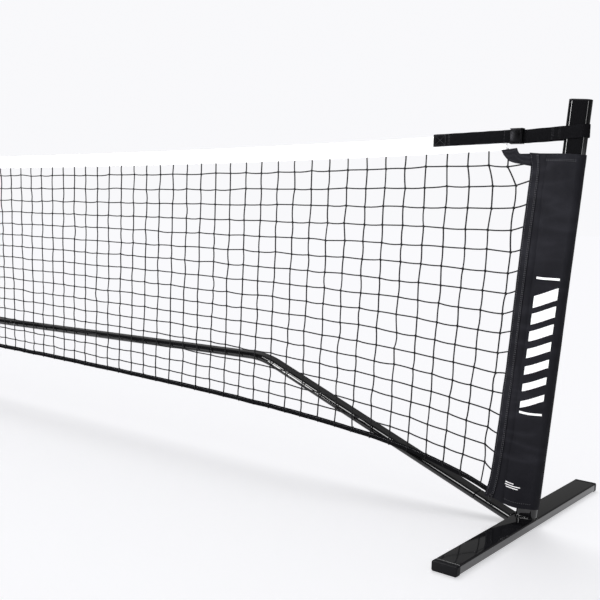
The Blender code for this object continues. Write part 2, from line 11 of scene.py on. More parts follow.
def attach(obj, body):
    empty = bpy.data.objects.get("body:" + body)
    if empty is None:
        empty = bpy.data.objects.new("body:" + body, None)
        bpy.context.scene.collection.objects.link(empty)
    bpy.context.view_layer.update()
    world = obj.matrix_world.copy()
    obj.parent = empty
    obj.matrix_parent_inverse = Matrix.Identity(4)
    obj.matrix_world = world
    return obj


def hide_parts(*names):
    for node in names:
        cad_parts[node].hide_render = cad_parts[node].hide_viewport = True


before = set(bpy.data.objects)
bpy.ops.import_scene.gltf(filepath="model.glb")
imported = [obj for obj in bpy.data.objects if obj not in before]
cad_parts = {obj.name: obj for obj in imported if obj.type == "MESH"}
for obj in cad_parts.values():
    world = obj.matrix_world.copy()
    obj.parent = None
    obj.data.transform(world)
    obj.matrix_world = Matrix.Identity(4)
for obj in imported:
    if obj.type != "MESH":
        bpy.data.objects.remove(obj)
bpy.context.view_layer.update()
scene = bpy.context.scene
random.seed(11)

SIDES = {"right": 1, "left": -1}

# Sizes shared with the CAD model, in metres

HALF_SPAN = 3.34
POST_LEAN = math.radians(4.2)
POST_TOP = 0.978
WALL = 0.0015
FIT_GAP = 0.0003
POST_TUBE = (0.052, 0.026)
RAIL_TUBE = (0.0445, 0.0195)
STUB_COLLAR = (0.0495, 0.0245)
BEAM_WIDTH = 0.058
BEAM_TOP = 0.0220
BEAM_BOTTOM = 0.0015
BEAM_CORNER = 0.0040
END_BEAM_LENGTH = 0.780
CENTRE_BEAM_LENGTH = 0.500
CAP_LENGTH = 0.014
POST_FOOT = 0.054
STUB_LENGTH = 0.165
POST_BUTTON_HEIGHT = 0.105
CAP_RIM = 0.0035
BRACE_FOOT = Vector((HALF_SPAN - 0.043, 0.0165))
BRACE_BEND = Vector((HALF_SPAN - 0.805, 0.2995))
RAIL_CENTRE = Vector((0.0, 0.251))
BEND_RADIUS = 0.24
BRACE_STUB_END = 0.085
SPIGOT_LENGTH = 0.070
SHOULDER = 0.0025
BRACE_END = HALF_SPAN - 1.000
RAIL_JOINT = HALF_SPAN - 2.000
BUTTON_INSET = 0.027
COUPLER_HALF = 0.075
COUPLER_BUTTON = 0.050
BUTTON_RADIUS = 0.0038
BUTTON_PROUD = 0.0030
BUTTON_HOLE = 0.0042
NET_Y = -0.0270
HEADBAND_END = HALF_SPAN - 0.085
HEADBAND_HEIGHT = 0.0415
TOP_AT_END = 0.9075
TOP_AT_CENTRE = 0.8780
BAND_HEIGHT = 0.014
BAND_LOW = 0.0735
BAND_RISES = ((0.046, 0.17), (0.072, 0.60))
SAG_POWER = 4
SLEEVE_LOW = 0.048
SLEEVE_HIGH = 0.859
SLEEVE_TAIL = 0.083
SLEEVE_CLOTH = 0.0011
STRAP_MIDDLE = 0.897
STRAP_HEIGHT = 0.029
STRAP_THICK = 0.0016
STRAP_SEWN_END = -0.2735
STRAP_ON_POST = 0.905
STRAP_RISE = 0.075
STRAP_FALL = 0.027
BUCKLE_LEFT = -0.0750
BUCKLE_RIGHT = -0.0440
BUCKLE_HEIGHT = 0.035
BUCKLE_FRONT = -0.0355
BUCKLE_BACK = -0.0232
PIN_RADIUS = 0.0014
ANCHOR_BAR = Vector((-0.0719, -0.0288))
CAM_PIVOT = Vector((-0.0490, -0.0322))
CAM_RADIUS = 0.0042

# Sizes of the visual model alone, in metres

LIP = 0.0004
INSIDE_DEPTH = 0.02
BEAD_RADIUS = 0.0021
BEAD_PITCH = 0.0011
BEAD_LOWEST = 0.0028
BUTTON_REACH = 2 * WALL + FIT_GAP + 0.0047
POST_BUTTON_REACH = 0.0045
ROWS = 16
COLUMNS = 113
FIRST_COLUMN = HALF_SPAN - 0.064
TWINE_RADIUS = 0.00180
LASHING_RADIUS = 0.0010
KNOT_SIZE = 0.0040
TAPE_HALF = 0.0019
BINDING_WIDTH = 0.0195
FRONT_SPOTS = 26
BACK_SPOTS = 44
CAMERA_PLACE = (HALF_SPAN + 0.8136, -1.94, 0.6994)
CAMERA_LENS = 53.66
YAW, PITCH, ROLL = 0.658, 0.0928, 0.034
FLOOR_GLOW = 0.530


# Shader nodes


class Wire:
    """An output of a shader node, which adds, subtracts, multiplies and divides."""

    def __init__(self, look, socket):
        self.look = look
        self.socket = socket

    def math(self, operation, *others, swap=False):
        values = [self, *others]
        if swap:
            values.reverse()
        made = self.look.node("ShaderNodeMath", {"operation": operation}, dict(enumerate(values)))
        return Wire(self.look, made.outputs[0])

    def __add__(self, other):
        return self.math("ADD", other)

    def __sub__(self, other):
        return self.math("SUBTRACT", other)

    def __rsub__(self, other):
        return self.math("SUBTRACT", other, swap=True)

    def __mul__(self, other):
        return self.math("MULTIPLY", other)

    def __truediv__(self, other):
        return self.math("DIVIDE", other)

    __radd__ = __add__
    __rmul__ = __mul__


class Look:
    """A material and the nodes that shade it."""

    def __init__(self, name, colour, roughness, **constants):
        self.material = bpy.data.materials.new(name)
        self.material.use_nodes = True
        self.material.diffuse_color = (*colour, 1.0)
        self.tree = self.material.node_tree
        self.shader = self.tree.nodes["Principled BSDF"]
        self.set("Base Color", (*colour, 1.0))
        self.set("Roughness", roughness)
        for socket, value in constants.items():
            self.set(socket.replace("_", " "), value)

    def set(self, socket, value):
        """A constant, or a wire, on one of the shader's sockets."""
        self.join(self.shader.inputs[socket], value)

    def join(self, socket, value):
        if isinstance(value, Wire):
            self.tree.links.new(value.socket, socket)
        else:
            socket.default_value = value

    def node(self, kind, settings=None, inputs=None):
        made = self.tree.nodes.new(kind)
        for key, value in (settings or {}).items():
            setattr(made, key, value)
        for key, value in (inputs or {}).items():
            self.join(made.inputs[key], value)
        return made

    def out(self, kind, settings=None, inputs=None, output=0):
        return Wire(self, self.node(kind, settings, inputs).outputs[output])

    def place(self):
        """Where a point is on the object, in metres."""
        return self.out("ShaderNodeTexCoord", output="Object")

    def cloth(self):
        """Where a point is on its cloth, in metres along and across, as two wires."""
        spot = self.out("ShaderNodeUVMap", {"uv_map": "cloth"})
        split = self.node("ShaderNodeSeparateXYZ", inputs={0: spot})
        return Wire(self, split.outputs[0]), Wire(self, split.outputs[1])

    def grain(self, scale, detail=2.0, spot=None):
        inputs = {"Vector": spot or self.place(), "Scale": scale, "Detail": detail}
        return self.out("ShaderNodeTexNoise", inputs=inputs)

    def mix(self, factor, first, second):
        """A colour from first at factor 0 to second at factor 1."""
        made = self.node("ShaderNodeMix", {"data_type": "RGBA"})
        for socket, value in ((0, factor), (6, (*first, 1.0)), (7, (*second, 1.0))):
            self.join(made.inputs[socket], value)
        return Wire(self, made.outputs[2])

    def bump(self, height, distance, strength=1.0):
        inputs = {"Height": height, "Distance": distance, "Strength": strength}
        self.set("Normal", self.out("ShaderNodeBump", inputs=inputs))


def paint_look():
    """Black powder coat: glossy, with a fine orange peel."""
    colour = (0.0040, 0.0040, 0.0046)
    look = Look("black_paint", colour, 0.24, Specular_IOR_Level=0.50, Coat_Roughness=0.05)
    look.set("Coat Weight", 0.20)
    look.set("Roughness", 0.06 + 0.03 * look.grain(45.0))
    look.bump(look.grain(300.0, 2.0), 0.00001, 0.05)
    return look


def plastic_look():
    look = Look("cap_plastic", (0.007, 0.007, 0.008), 0.50, Specular_IOR_Level=0.10)
    look.bump(look.grain(900.0, 1.0), 0.0001, 0.4)
    return look


def steel_look(name, colour, roughness):
    look = Look(name, colour, roughness, Metallic=1.0)
    look.set("Roughness", roughness + 0.12 * look.grain(260.0) - 0.06)
    return look


def ribs(across, pitch):
    """The ribs of a plain weave: a sine across them, from 0 to 1."""
    return (across * (2 * math.pi / pitch)).math("SINE") * 0.5 + 0.5


def webbing_look():
    """Matte black webbing, in a narrow herringbone."""
    look = Look("webbing", (0.010, 0.010, 0.011), 0.80, Specular_IOR_Level=0.02)
    along, across = look.cloth()
    row = (across / 0.0036).math("FRACT") - 0.5
    phase = (along + row.math("ABSOLUTE") * 0.0040) * (2 * math.pi / 0.0016)
    weave = phase.math("SINE") * 0.5 + 0.5
    shade = weave * 0.5 + look.grain(500.0) * 0.5
    look.set("Base Color", look.mix(shade, (0.002, 0.002, 0.0025), (0.008, 0.008, 0.009)))
    look.bump(weave, 0.0003, 0.7)
    return look


def sleeve_look():
    """Blue-black woven polyester, with painted highlights along soft creases and painted light and shade
    in soft patches.
    """
    look = Look("sleeve_fabric", (0.012, 0.012, 0.016), 0.60, Specular_IOR_Level=0.10)
    along, across = look.cloth()
    weave = ribs(across, 0.0011) * ribs(along, 0.0011)
    slanted = {"Vector": look.place(), "Rotation": (0.0, 0.75, 0.0), "Scale": (1.0, 1.0, 3.4)}
    spot = look.out("ShaderNodeMapping", inputs=slanted)
    folds = (look.grain(5.0, 2.0, spot) - 0.5).math("ABSOLUTE")
    # Lighter lines along the noise folds, only in patches, are a painted highlight standing in for light
    # on wrinkled cloth.
    crease = (1.0 - folds * 11.0).math("MAXIMUM", 0.0)
    where = ((look.grain(5.0, 1.0) - 0.46) * 9.0).math("MAXIMUM", 0.0).math("MINIMUM", 1.0)
    # Base colour: the weave's tone, painted light and shade in soft patches from the coarse noise, and
    # the painted crease highlights.
    shade = weave * 0.12 + look.grain(14.0, 4.0) * 0.5 + crease * where * 0.26
    look.set("Base Color", look.mix(shade, (0.0030, 0.0030, 0.0048), (0.0215, 0.0215, 0.0275)))
    look.set("Roughness", 0.52 + 0.16 * look.grain(30.0))
    look.bump(weave * 0.05 + look.grain(16.0, 3.0), 0.0050, 0.6)
    return look


def tape_look():
    """The white coated cloth of the headband."""
    look = Look("headband_vinyl", (0.86, 0.86, 0.88), 0.50)
    along, across = look.cloth()
    weave = ribs(across, 0.0012) * ribs(along, 0.0012)
    shade = weave * 0.3 + look.grain(9.0, 3.0) * 0.7
    look.set("Base Color", look.mix(shade, (0.80, 0.80, 0.81), (0.86, 0.86, 0.87)))
    look.bump(weave, 0.0002, 0.4)
    return look


def thread_look(name, dark, light):
    look = Look(name, light, 0.75, Specular_IOR_Level=0.25)
    look.set("Base Color", look.mix(look.grain(700.0, 2.0), dark, light))
    return look


PAINT = paint_look()
PLASTIC = plastic_look()
STEEL = steel_look("button_steel", (0.50, 0.50, 0.52), 0.30)
BUCKLE = steel_look("buckle_metal", (0.011, 0.011, 0.012), 0.30)
WEBBING = webbing_look()
SLEEVE = sleeve_look()
TAPE = tape_look()
TWINE = thread_look("net_twine", (0.002, 0.002, 0.003), (0.010, 0.010, 0.011))
BLACK_THREAD = thread_look("black_thread", (0.040, 0.040, 0.045), (0.120, 0.120, 0.130))
WHITE_THREAD = thread_look("white_thread", (0.60, 0.60, 0.62), (0.85, 0.85, 0.86))
PRINT = thread_look("sleeve_print", (0.88, 0.88, 0.885), (0.95, 0.95, 0.955))
CORNER_CORD = thread_look("corner_cord", (0.010, 0.010, 0.011), (0.035, 0.035, 0.038))


# Meshes


def add_piece(name, data, look, nodes=(), slot=None, body="frame", angle=35.0):
    """Shows a mesh as a piece that rides on a body, in the place of CAD nodes."""
    data.shade_smooth()
    data.set_sharp_from_angle(angle=math.radians(angle))
    if not data.materials:
        data.materials.append(look.material)
    made = bpy.data.objects.new(name, data)
    scene.collection.objects.link(made)
    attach(made, body)
    if nodes:
        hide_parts(*nodes)
    return made


class Form:
    """A mesh being built."""

    def __init__(self):
        self.mesh = bmesh.new()
        self.spots = self.mesh.loops.layers.uv.new("cloth")

    def loft(self, rings, ends="caps"):
        """A skin through rings of equal length. Its ends are caps, or are joined to one another."""
        rows = [[self.mesh.verts.new(point) for point in ring] for ring in rings]
        around = running_lengths(rings[len(rings) // 2], True)
        along = running_lengths([centre_of(ring) for ring in rings], ends == "joined")
        count = len(rows[0])
        pairs = list(zip(range(len(rows)), range(1, len(rows))))
        if ends == "joined":
            pairs.append((len(rows) - 1, 0))
        for first, second in pairs:
            for i in range(count):
                j = (i + 1) % count
                corners = (
                    (rows[first][i], along[first], around[i]),
                    (rows[first][j], along[first], around[i + 1]),
                    (rows[second][j], along[first + 1], around[i + 1]),
                    (rows[second][i], along[first + 1], around[i]),
                )
                face = self.mesh.faces.new([corner[0] for corner in corners])
                for loop, corner in zip(face.loops, corners):
                    loop[self.spots].uv = corner[1:]
        if ends == "caps":
            self.mesh.faces.new(rows[0])
            self.mesh.faces.new(rows[-1])
        return self

    def data(self, name):
        bmesh.ops.recalc_face_normals(self.mesh, faces=self.mesh.faces)
        made = bpy.data.meshes.new(name)
        self.mesh.to_mesh(made)
        self.mesh.free()
        return made

    def piece(self, name, look, *nodes, slot=None, body="frame", angle=35.0):
        return add_piece(name, self.data(name), look, nodes, slot, body, angle)


def centre_of(ring):
    return sum(ring, Vector()) / len(ring)


def running_lengths(points, closed):
    total = [0.0]
    for first, second in zip(points, [*points[1:], points[0]]):
        total.append(total[-1] + (second - first).length)
    return total if closed else total[:-1] + [total[-2]]


def inset(size, by):
    return (size[0] - 2 * by, size[1] - 2 * by)


def oval(size, steps=22):
    """A flat oval, long along the first axis, with a point near each end of its flats."""
    width, height = size
    radius = height / 2
    centre = width / 2 - radius
    flat_inset = 0.0012
    ring = []
    for sign, start in ((1, -math.pi / 2), (-1, math.pi / 2)):
        ring.append((sign * (centre - flat_inset), -sign * radius))
        for step in range(steps + 1):
            angle = start + math.pi * step / steps
            ring.append((sign * centre + radius * math.cos(angle), radius * math.sin(angle)))
        ring.append((sign * (centre - flat_inset), sign * radius))
    return ring


def rounded_box(width, low, high, corner, steps=8):
    """A rectangle with rounded corners, centred across its width."""
    across = width / 2 - corner
    ring = []
    for x, z, start in (
        (across, low + corner, -90),
        (across, high - corner, 0),
        (-across, high - corner, 90),
        (-across, low + corner, 180),
    ):
        for step in range(steps + 1):
            angle = math.radians(start + 90 * step / steps)
            ring.append((x + corner * math.cos(angle), z + corner * math.sin(angle)))
    return ring


class Station:
    """A place along a tube: its middle, the way it runs, and the two axes of its section."""

    def __init__(self, middle, way, across, up):
        self.middle, self.way, self.across, self.up = middle, way, across, up

    def shift(self, distance):
        return Station(self.middle + self.way * distance, self.way, self.across, self.up)

    def ring(self, section):
        return [self.middle + self.across * u + self.up * v for u, v in section]


def pipe(form, stations, size, wall=WALL):
    """A tube with rounded lips, open for a short way at each end."""
    first, last = stations[0], stations[-1]
    inner, lip_in, lip_out = (oval(inset(size, by)) for by in (wall, wall - LIP, LIP))

    def mouth(station, inward):
        return [
            station.shift(inward * INSIDE_DEPTH).ring(inner),
            station.shift(inward * LIP).ring(inner),
            station.ring(lip_in),
            station.ring(lip_out),
            station.shift(inward * LIP).ring(oval(size)),
        ]

    rings = mouth(first, 1)
    rings += [station.ring(oval(size)) for station in stations[1:-1]]
    rings += reversed(mouth(last, -1))
    return form.loft(rings)


def bead(form, path):
    """A weld bead round a closed path of (point, outward) pairs, rippled as a torch leaves it."""
    rings = []
    for i, (point, outward) in enumerate(path):
        way = (path[(i + 1) % len(path)][0] - path[i - 1][0]).normalized()
        side = way.cross(outward).normalized()
        swell = BEAD_RADIUS * (1 + 0.16 * math.sin(i * 2.1) + 0.07 * random.uniform(-1, 1))
        ring = []
        for step in range(8):
            angle = 2 * math.pi * step / 8
            ring.append(point + outward * (swell * math.cos(angle)) + side * (swell * math.sin(angle)))
        rings.append(ring)
    return form.loft(rings, ends="joined")


def bead_round(form, station, section):
    """A weld bead round a tube's foot."""
    points = spread(station.ring(section), BEAD_PITCH, closed=True)
    return bead(form, [(point, (point - station.middle).normalized()) for point in points])


def spread(points, pitch, closed=False):
    """Points about one pitch apart along a polyline."""
    stops = [*points, points[0]] if closed else list(points)
    lengths = [0.0]
    for first, second in zip(stops, stops[1:]):
        lengths.append(lengths[-1] + (second - first).length)
    count = max(3, round(lengths[-1] / pitch))
    made, leg = [], 0
    for i in range(count if closed else count + 1):
        target = lengths[-1] * i / count
        while leg + 2 < len(stops) and lengths[leg + 1] < target:
            leg += 1
        reach = max(lengths[leg + 1] - lengths[leg], 1e-9)
        made.append(stops[leg].lerp(stops[leg + 1], min(1.0, (target - lengths[leg]) / reach)))
    return made


def lathe(form, matrix, profile, sides=28):
    """Turns a profile of (radius, height) pairs about a matrix's Z."""
    rings = []
    for radius, height in profile:
        ring = []
        for step in range(sides):
            angle = 2 * math.pi * step / sides
            spot = Vector((radius * math.cos(angle), radius * math.sin(angle), height))
            ring.append(matrix @ spot)
        rings.append(ring)
    return form.loft(rings)


def drill(target, matrix, radius, depth):
    """Cuts a round hole along a matrix's Z."""
    cutter = Form()
    lathe(cutter, matrix, [(radius, -depth), (radius, depth)], 32)
    tool = bpy.data.objects.new("drill", cutter.data("drill"))
    scene.collection.objects.link(tool)
    cut = target.modifiers.new("hole", "BOOLEAN")
    cut.object = tool
    cut.solver = "EXACT"
    settle(target)
    bpy.data.objects.remove(tool)
    target.data.set_sharp_from_angle(angle=math.radians(35))


def settle(target):
    """Turns a piece's modifiers into its mesh."""
    graph = bpy.context.evaluated_depsgraph_get()
    made = bpy.data.meshes.new_from_object(target.evaluated_get(graph))
    target.modifiers.clear()
    target.data = made


# Geometry Nodes


class Network:
    """A Geometry Nodes group being built."""

    def __init__(self, name, numbers):
        self.group = bpy.data.node_groups.new(name, "GeometryNodeTree")
        add = self.group.interface.new_socket
        add("Geometry", in_out="INPUT", socket_type="NodeSocketGeometry")
        self.keys = {
            number: add(number, in_out="INPUT", socket_type="NodeSocketFloat").identifier
            for number in numbers
        }
        add("Geometry", in_out="OUTPUT", socket_type="NodeSocketGeometry")
        self.given = self.group.nodes.new("NodeGroupInput")

    def node(self, kind, settings=None, **inputs):
        made = self.group.nodes.new(kind)
        for key, value in (settings or {}).items():
            setattr(made, key, value)
        for key, value in inputs.items():
            socket = made.inputs[key.replace("_", " ")]
            if isinstance(value, bpy.types.NodeSocket):
                self.group.links.new(value, socket)
            else:
                socket.default_value = value
        return made.outputs

    def finish(self, shape, look):
        coat = self.node("GeometryNodeSetMaterial", Geometry=shape, Material=look.material)
        out = self.group.nodes.new("NodeGroupOutput")
        self.group.links.new(coat[0], out.inputs[0])


def strand_network(look):
    """Sweeps a round strand along every edge."""
    net = Network(f"strands_{look.material.name}", ("Radius",))
    given = net.given.outputs
    lines = net.node("GeometryNodeMeshToCurve", Mesh=given["Geometry"])
    ring = net.node("GeometryNodeCurvePrimitiveCircle", Resolution=6, Radius=given["Radius"])
    skin = net.node("GeometryNodeCurveToMesh", Curve=lines[0], Profile_Curve=ring[0], Fill_Caps=True)
    net.finish(net.node("GeometryNodeSetShadeSmooth", Geometry=skin[0])[0], look)
    return net


def knot_network(look):
    """A knot at every point: two bights that cross."""
    net = Network("knots", ("Size",))
    size = net.given.outputs["Size"]
    bights = []
    for turn, shape in ((0.7, (1.0, 0.62, 0.75)), (-0.8, (0.9, 0.60, 0.72))):
        ball = net.node("GeometryNodeMeshUVSphere", Segments=6, Rings=5, Radius=size)
        bent = net.node(
            "GeometryNodeTransform", Geometry=ball[0], Rotation=(0.0, turn, 0.4 * turn), Scale=shape
        )
        bights.append(bent[0])
    both = net.group.nodes.new("GeometryNodeJoinGeometry")
    for bight in bights:
        net.group.links.new(bight, both.inputs[0])
    dots = net.node("GeometryNodeMeshToPoints", Mesh=net.given.outputs["Geometry"])
    least, most = (-0.3, -0.4, -0.3), (0.3, 0.4, 0.3)
    kind = {"data_type": "FLOAT_VECTOR"}
    turned = net.node("FunctionNodeRandomValue", kind, Min=least, Max=most, Seed=5)
    knots = net.node(
        "GeometryNodeInstanceOnPoints", Points=dots[0], Instance=both.outputs[0], Rotation=turned[0]
    )
    solid = net.node("GeometryNodeRealizeInstances", Geometry=knots[0])
    net.finish(net.node("GeometryNodeSetShadeSmooth", Geometry=solid[0])[0], look)
    return net


def stitch_network(look):
    """A row of stitches along every edge chain."""
    net = Network(f"stitches_{look.material.name}", ("Pitch", "Length", "Radius"))
    given = net.given.outputs
    lines = net.node("GeometryNodeMeshToCurve", Mesh=given["Geometry"])
    spaced = {"mode": "LENGTH"}
    dots = net.node("GeometryNodeCurveToPoints", spaced, Curve=lines[0], Length=given["Pitch"])
    ball = net.node("GeometryNodeMeshIcoSphere", Radius=1.0, Subdivisions=1)
    size = net.node("ShaderNodeCombineXYZ", X=given["Radius"], Y=given["Radius"], Z=given["Length"])
    rows = net.node(
        "GeometryNodeInstanceOnPoints",
        Points=dots[0],
        Instance=ball[0],
        Rotation=dots["Rotation"],
        Scale=size[0],
    )
    solid = net.node("GeometryNodeRealizeInstances", Geometry=rows[0])
    net.finish(net.node("GeometryNodeSetShadeSmooth", Geometry=solid[0])[0], look)
    return net


def grow(name, points, edges, network, values, look, nodes=(), slot=None):
    """A piece that a network grows on points and edges."""
    data = bpy.data.meshes.new(name)
    data.from_pydata(points, edges, [])
    made = bpy.data.objects.new(name, data)
    scene.collection.objects.link(made)
    grown = made.modifiers.new("network", "NODES")
    grown.node_group = network.group
    for key, value in values.items():
        grown[network.keys[key]] = value
    settle(made)
    result = made.data
    bpy.data.objects.remove(made)
    return add_piece(name, result, look, nodes, slot, angle=50.0)


STRANDS = strand_network(TWINE)
KNOTS = knot_network(TWINE)
BLACK_STITCHES = stitch_network(BLACK_THREAD)
WHITE_STITCHES = stitch_network(WHITE_THREAD)


def chains(lines):
    """Points and edges of several polylines."""
    points, edges = [], []
    for line in lines:
        start = len(points)
        points += line
        edges += [(start + i, start + i + 1) for i in range(len(line) - 1)]
    return points, edges


def stitch(name, lines, network=None, pitch=0.0048, length=0.0018, radius=0.00055):
    """Stitched seams along polylines."""
    network = network or BLACK_STITCHES
    look = WHITE_THREAD if network is WHITE_STITCHES else BLACK_THREAD
    values = {"Pitch": pitch, "Length": length, "Radius": radius}
    return grow(name, *chains(lines), network, values, look)


# Floor beams


def beam_station(x, y):
    return Station(Vector((x, y, 0.0)), Vector((0, 1, 0)), Vector((1, 0, 0)), Vector((0, 0, 1)))


def floor_beam(prefix, x, length):
    half = length / 2 - CAP_LENGTH - FIT_GAP
    outside = rounded_box(BEAM_WIDTH, BEAM_BOTTOM, BEAM_TOP, BEAM_CORNER)
    lip = rounded_box(BEAM_WIDTH - 2 * LIP, BEAM_BOTTOM + LIP, BEAM_TOP - LIP, BEAM_CORNER - LIP)
    places = ((-half, lip), (-half + LIP, outside), (half - LIP, outside), (half, lip))
    form = Form().loft([beam_station(x, y).ring(section) for y, section in places])
    form.piece(f"{prefix}_foot_beam_shell", PAINT, f"{prefix}_foot_beam", slot="black_paint")
    rounding = ((0.0, 0.0026), (0.0005, 0.0012), (0.0014, 0.0003), (0.0026, 0.0), (CAP_LENGTH, 0.0))
    for end, facing in (("front", -1), ("back", 1)):
        rings = []
        for depth, by in rounding:
            section = rounded_box(BEAM_WIDTH - 2 * by, by, BEAM_TOP - by, BEAM_CORNER)
            rings.append(beam_station(x, facing * (length / 2 - depth)).ring(section))
        neck = rounded_box(BEAM_WIDTH - 0.004, 0.0035, BEAM_TOP - 0.002, BEAM_CORNER - 0.001)
        for depth in (CAP_LENGTH, CAP_LENGTH + 0.002):
            rings.append(beam_station(x, facing * (length / 2 - depth)).ring(neck))
        Form().loft(rings).piece(
            f"{prefix}_foot_cap_{end}_moulding", PLASTIC, f"{prefix}_foot_cap_{end}", slot="cap_plastic"
        )


# Snap buttons


def outward_matrix(point, facing):
    return Matrix.Translation(point) @ Matrix.Rotation(-facing * math.pi / 2, 4, "X")


def snap_button(name, matrix, reach, tube):
    """A domed steel pin in its hole."""
    drill(tube, matrix, BUTTON_HOLE, 0.008)
    profile = [(0.0002, BUTTON_PROUD)]
    for step in range(1, 9):
        angle = math.radians(90 * step / 8)
        profile.append(
            (BUTTON_RADIUS * math.sin(angle), BUTTON_PROUD - 0.0014 * (1 - math.cos(angle)))
        )
    flange, low = 0.0052, -reach - 0.001
    profile += [(BUTTON_RADIUS, -reach), (flange, -reach), (flange, low), (0.0002, low)]
    form = lathe(Form(), matrix, profile)
    form.piece(f"{name}_pin", STEEL, name, slot="button_steel", body=name)


# Posts


def post_frame(sign):
    return Matrix.Translation((sign * HALF_SPAN, 0.0, 0.0)) @ Matrix.Rotation(sign * POST_LEAN, 4, "Y")


def post_station(sign, along):
    stand = post_frame(sign)
    across, through, way = (stand.to_3x3() @ Vector(axis) for axis in ((1, 0, 0), (0, 1, 0), (0, 0, 1)))
    return Station(stand @ Vector((0, 0, along)), way, across, through)


def post(prefix, sign):
    spigot = inset(POST_TUBE, WALL + FIT_GAP)
    shoulder = POST_FOOT - FIT_GAP
    rings = []
    for height, size in ((BEAM_TOP - 0.002, STUB_COLLAR), (shoulder - SHOULDER, STUB_COLLAR)):
        rings.append(post_station(sign, height).ring(oval(size)))
    for height in (shoulder, STUB_LENGTH):
        rings.append(post_station(sign, height).ring(oval(spigot)))
    form = Form().loft(rings)
    foot = post_station(sign, BEAM_TOP + 0.0006)
    bead_round(form, foot, oval(inset(STUB_COLLAR, -0.0006)))
    form.piece(f"{prefix}_post_stub_welded", PAINT, f"{prefix}_post_stub", slot="black_paint")
    top = POST_TOP - CAP_RIM - FIT_GAP
    tube = pipe(Form(), [post_station(sign, POST_FOOT), post_station(sign, top)], POST_TUBE)
    shown = tube.piece(f"{prefix}_post_tube_shell", PAINT, f"{prefix}_post_tube", slot="black_paint")
    rings = []
    low = POST_TOP - CAP_RIM
    for height, by in (
        (low - 0.010, 0.0019),
        (low, 0.0019),
        (low, 0.0004),
        (low + 0.0004, 0.0),
        (POST_TOP - 0.0012, 0.0),
        (POST_TOP - 0.0004, 0.0003),
        (POST_TOP, 0.0012),
    ):
        rings.append(post_station(sign, height).ring(oval(inset(POST_TUBE, by))))
    cap = Form().loft(rings)
    cap.piece(f"{prefix}_post_cap_moulding", PLASTIC, f"{prefix}_post_cap", slot="cap_plastic")
    back = post_frame(sign) @ outward_matrix(Vector((0, POST_TUBE[1] / 2, POST_BUTTON_HEIGHT)), 1)
    snap_button(f"{prefix}_button_post", back, POST_BUTTON_REACH, shown)


# Brace and rail tubes


class TubeLine:
    """The centre line of one end's brace and rail."""

    def __init__(self, sign):
        self.sign = sign
        self.down = (BRACE_BEND - BRACE_FOOT).normalized()
        self.level = (RAIL_CENTRE - BRACE_BEND).normalized()
        self.bend_reach = BEND_RADIUS * math.tan(self.down.angle(self.level) / 2)

    def station(self, point, way):
        def lift(flat):
            return Vector((self.sign * flat.x, 0.0, flat.y))

        return Station(lift(point), lift(way), Vector((0, 1, 0)), lift(Vector((way.y, -way.x))))

    def on_brace(self, along):
        return self.station(BRACE_FOOT + self.down * along, self.down)

    def on_rail(self, x):
        steps = (BRACE_BEND.x - x) / -self.level.x
        return self.station(BRACE_BEND + self.level * steps, self.level)

    def bend(self, steps=16):
        start = BRACE_BEND - self.down * self.bend_reach
        end = BRACE_BEND + self.level * self.bend_reach
        for step in range(steps + 1):
            t = step / steps
            point = start * (1 - t) ** 2 + BRACE_BEND * (2 * t * (1 - t)) + end * t**2
            yield self.station(point, (self.down * (1 - t) + self.level * t).normalized())

    def side(self, station, facing, width):
        return outward_matrix(station.middle + Vector((0, facing * width / 2, 0)), facing)


def spigot_rings(station, inward=1):
    spigot = oval(inset(RAIL_TUBE, WALL + FIT_GAP))
    return [station.shift(inward * far).ring(spigot) for far in (SHOULDER, SPIGOT_LENGTH)]


def swaged(stations, start=False, end=False):
    """A tube through stations whose ends are swaged down to spigots, or else have lips."""
    full = oval(RAIL_TUBE)
    lip = oval(inset(RAIL_TUBE, LIP))
    first, last = stations[0], stations[-1]
    rings = spigot_rings(first, -1)[::-1] if start else [first.shift(-LIP).ring(lip)]
    rings += [station.ring(full) for station in stations]
    rings += spigot_rings(last) if end else [last.shift(LIP).ring(lip)]
    return Form().loft(rings)


def brace_and_rails(prefix, sign):
    line = TubeLine(sign)
    seam = line.on_brace(BRACE_STUB_END)
    beam_side = HALF_SPAN - BEAM_WIDTH / 2
    root = line.on_brace(0.0)
    slanted = []
    for point in root.ring(oval(RAIL_TUBE)):
        slide = (beam_side - 0.0012 - sign * point.x) / (sign * root.way.x)
        slanted.append(point + root.way * slide)
    form = Form()
    form.loft([slanted, seam.ring(oval(RAIL_TUBE)), *spigot_rings(seam)])
    ring = spread(slanted, BEAD_PITCH, closed=True)
    middle = centre_of(ring)
    path = [(point, (point - middle).normalized()) for point in ring]
    for point in ring:
        point.z = max(point.z, BEAD_LOWEST)
    bead(form, path)
    form.piece(f"{prefix}_brace_stub_welded", PAINT, f"{prefix}_brace_stub", slot="black_paint")

    brace_end = line.on_rail(BRACE_END)
    stations = [line.on_brace(BRACE_STUB_END + SHOULDER + FIT_GAP + LIP), *line.bend(), brace_end]
    brace = swaged(stations, end=True).piece(
        f"{prefix}_brace_tube_shell", PAINT, f"{prefix}_brace_tube", slot="black_paint"
    )
    stations = [line.on_rail(BRACE_END - SHOULDER - FIT_GAP - LIP), line.on_rail(RAIL_JOINT + LIP)]
    outer = swaged(stations).piece(
        f"{prefix}_rail_outer_shell", PAINT, f"{prefix}_rail_outer", slot="black_paint"
    )
    stations = [line.on_rail(RAIL_JOINT - SHOULDER - FIT_GAP), line.on_rail(0.004)]
    inner = swaged(stations, start=True).piece(
        f"{prefix}_rail_inner_shell", PAINT, f"{prefix}_rail_inner", slot="black_paint"
    )
    for name, station, facing, tube in (
        ("brace", line.on_brace(BRACE_STUB_END + BUTTON_INSET), 1, brace),
        ("rail_outer", line.on_rail(BRACE_END - BUTTON_INSET), 1, outer),
        ("rail_inner", line.on_rail(RAIL_JOINT + BUTTON_INSET), -1, outer),
    ):
        place = line.side(station, facing, RAIL_TUBE[0])
        snap_button(f"{prefix}_button_{name}", place, BUTTON_REACH, tube)
    return line, inner


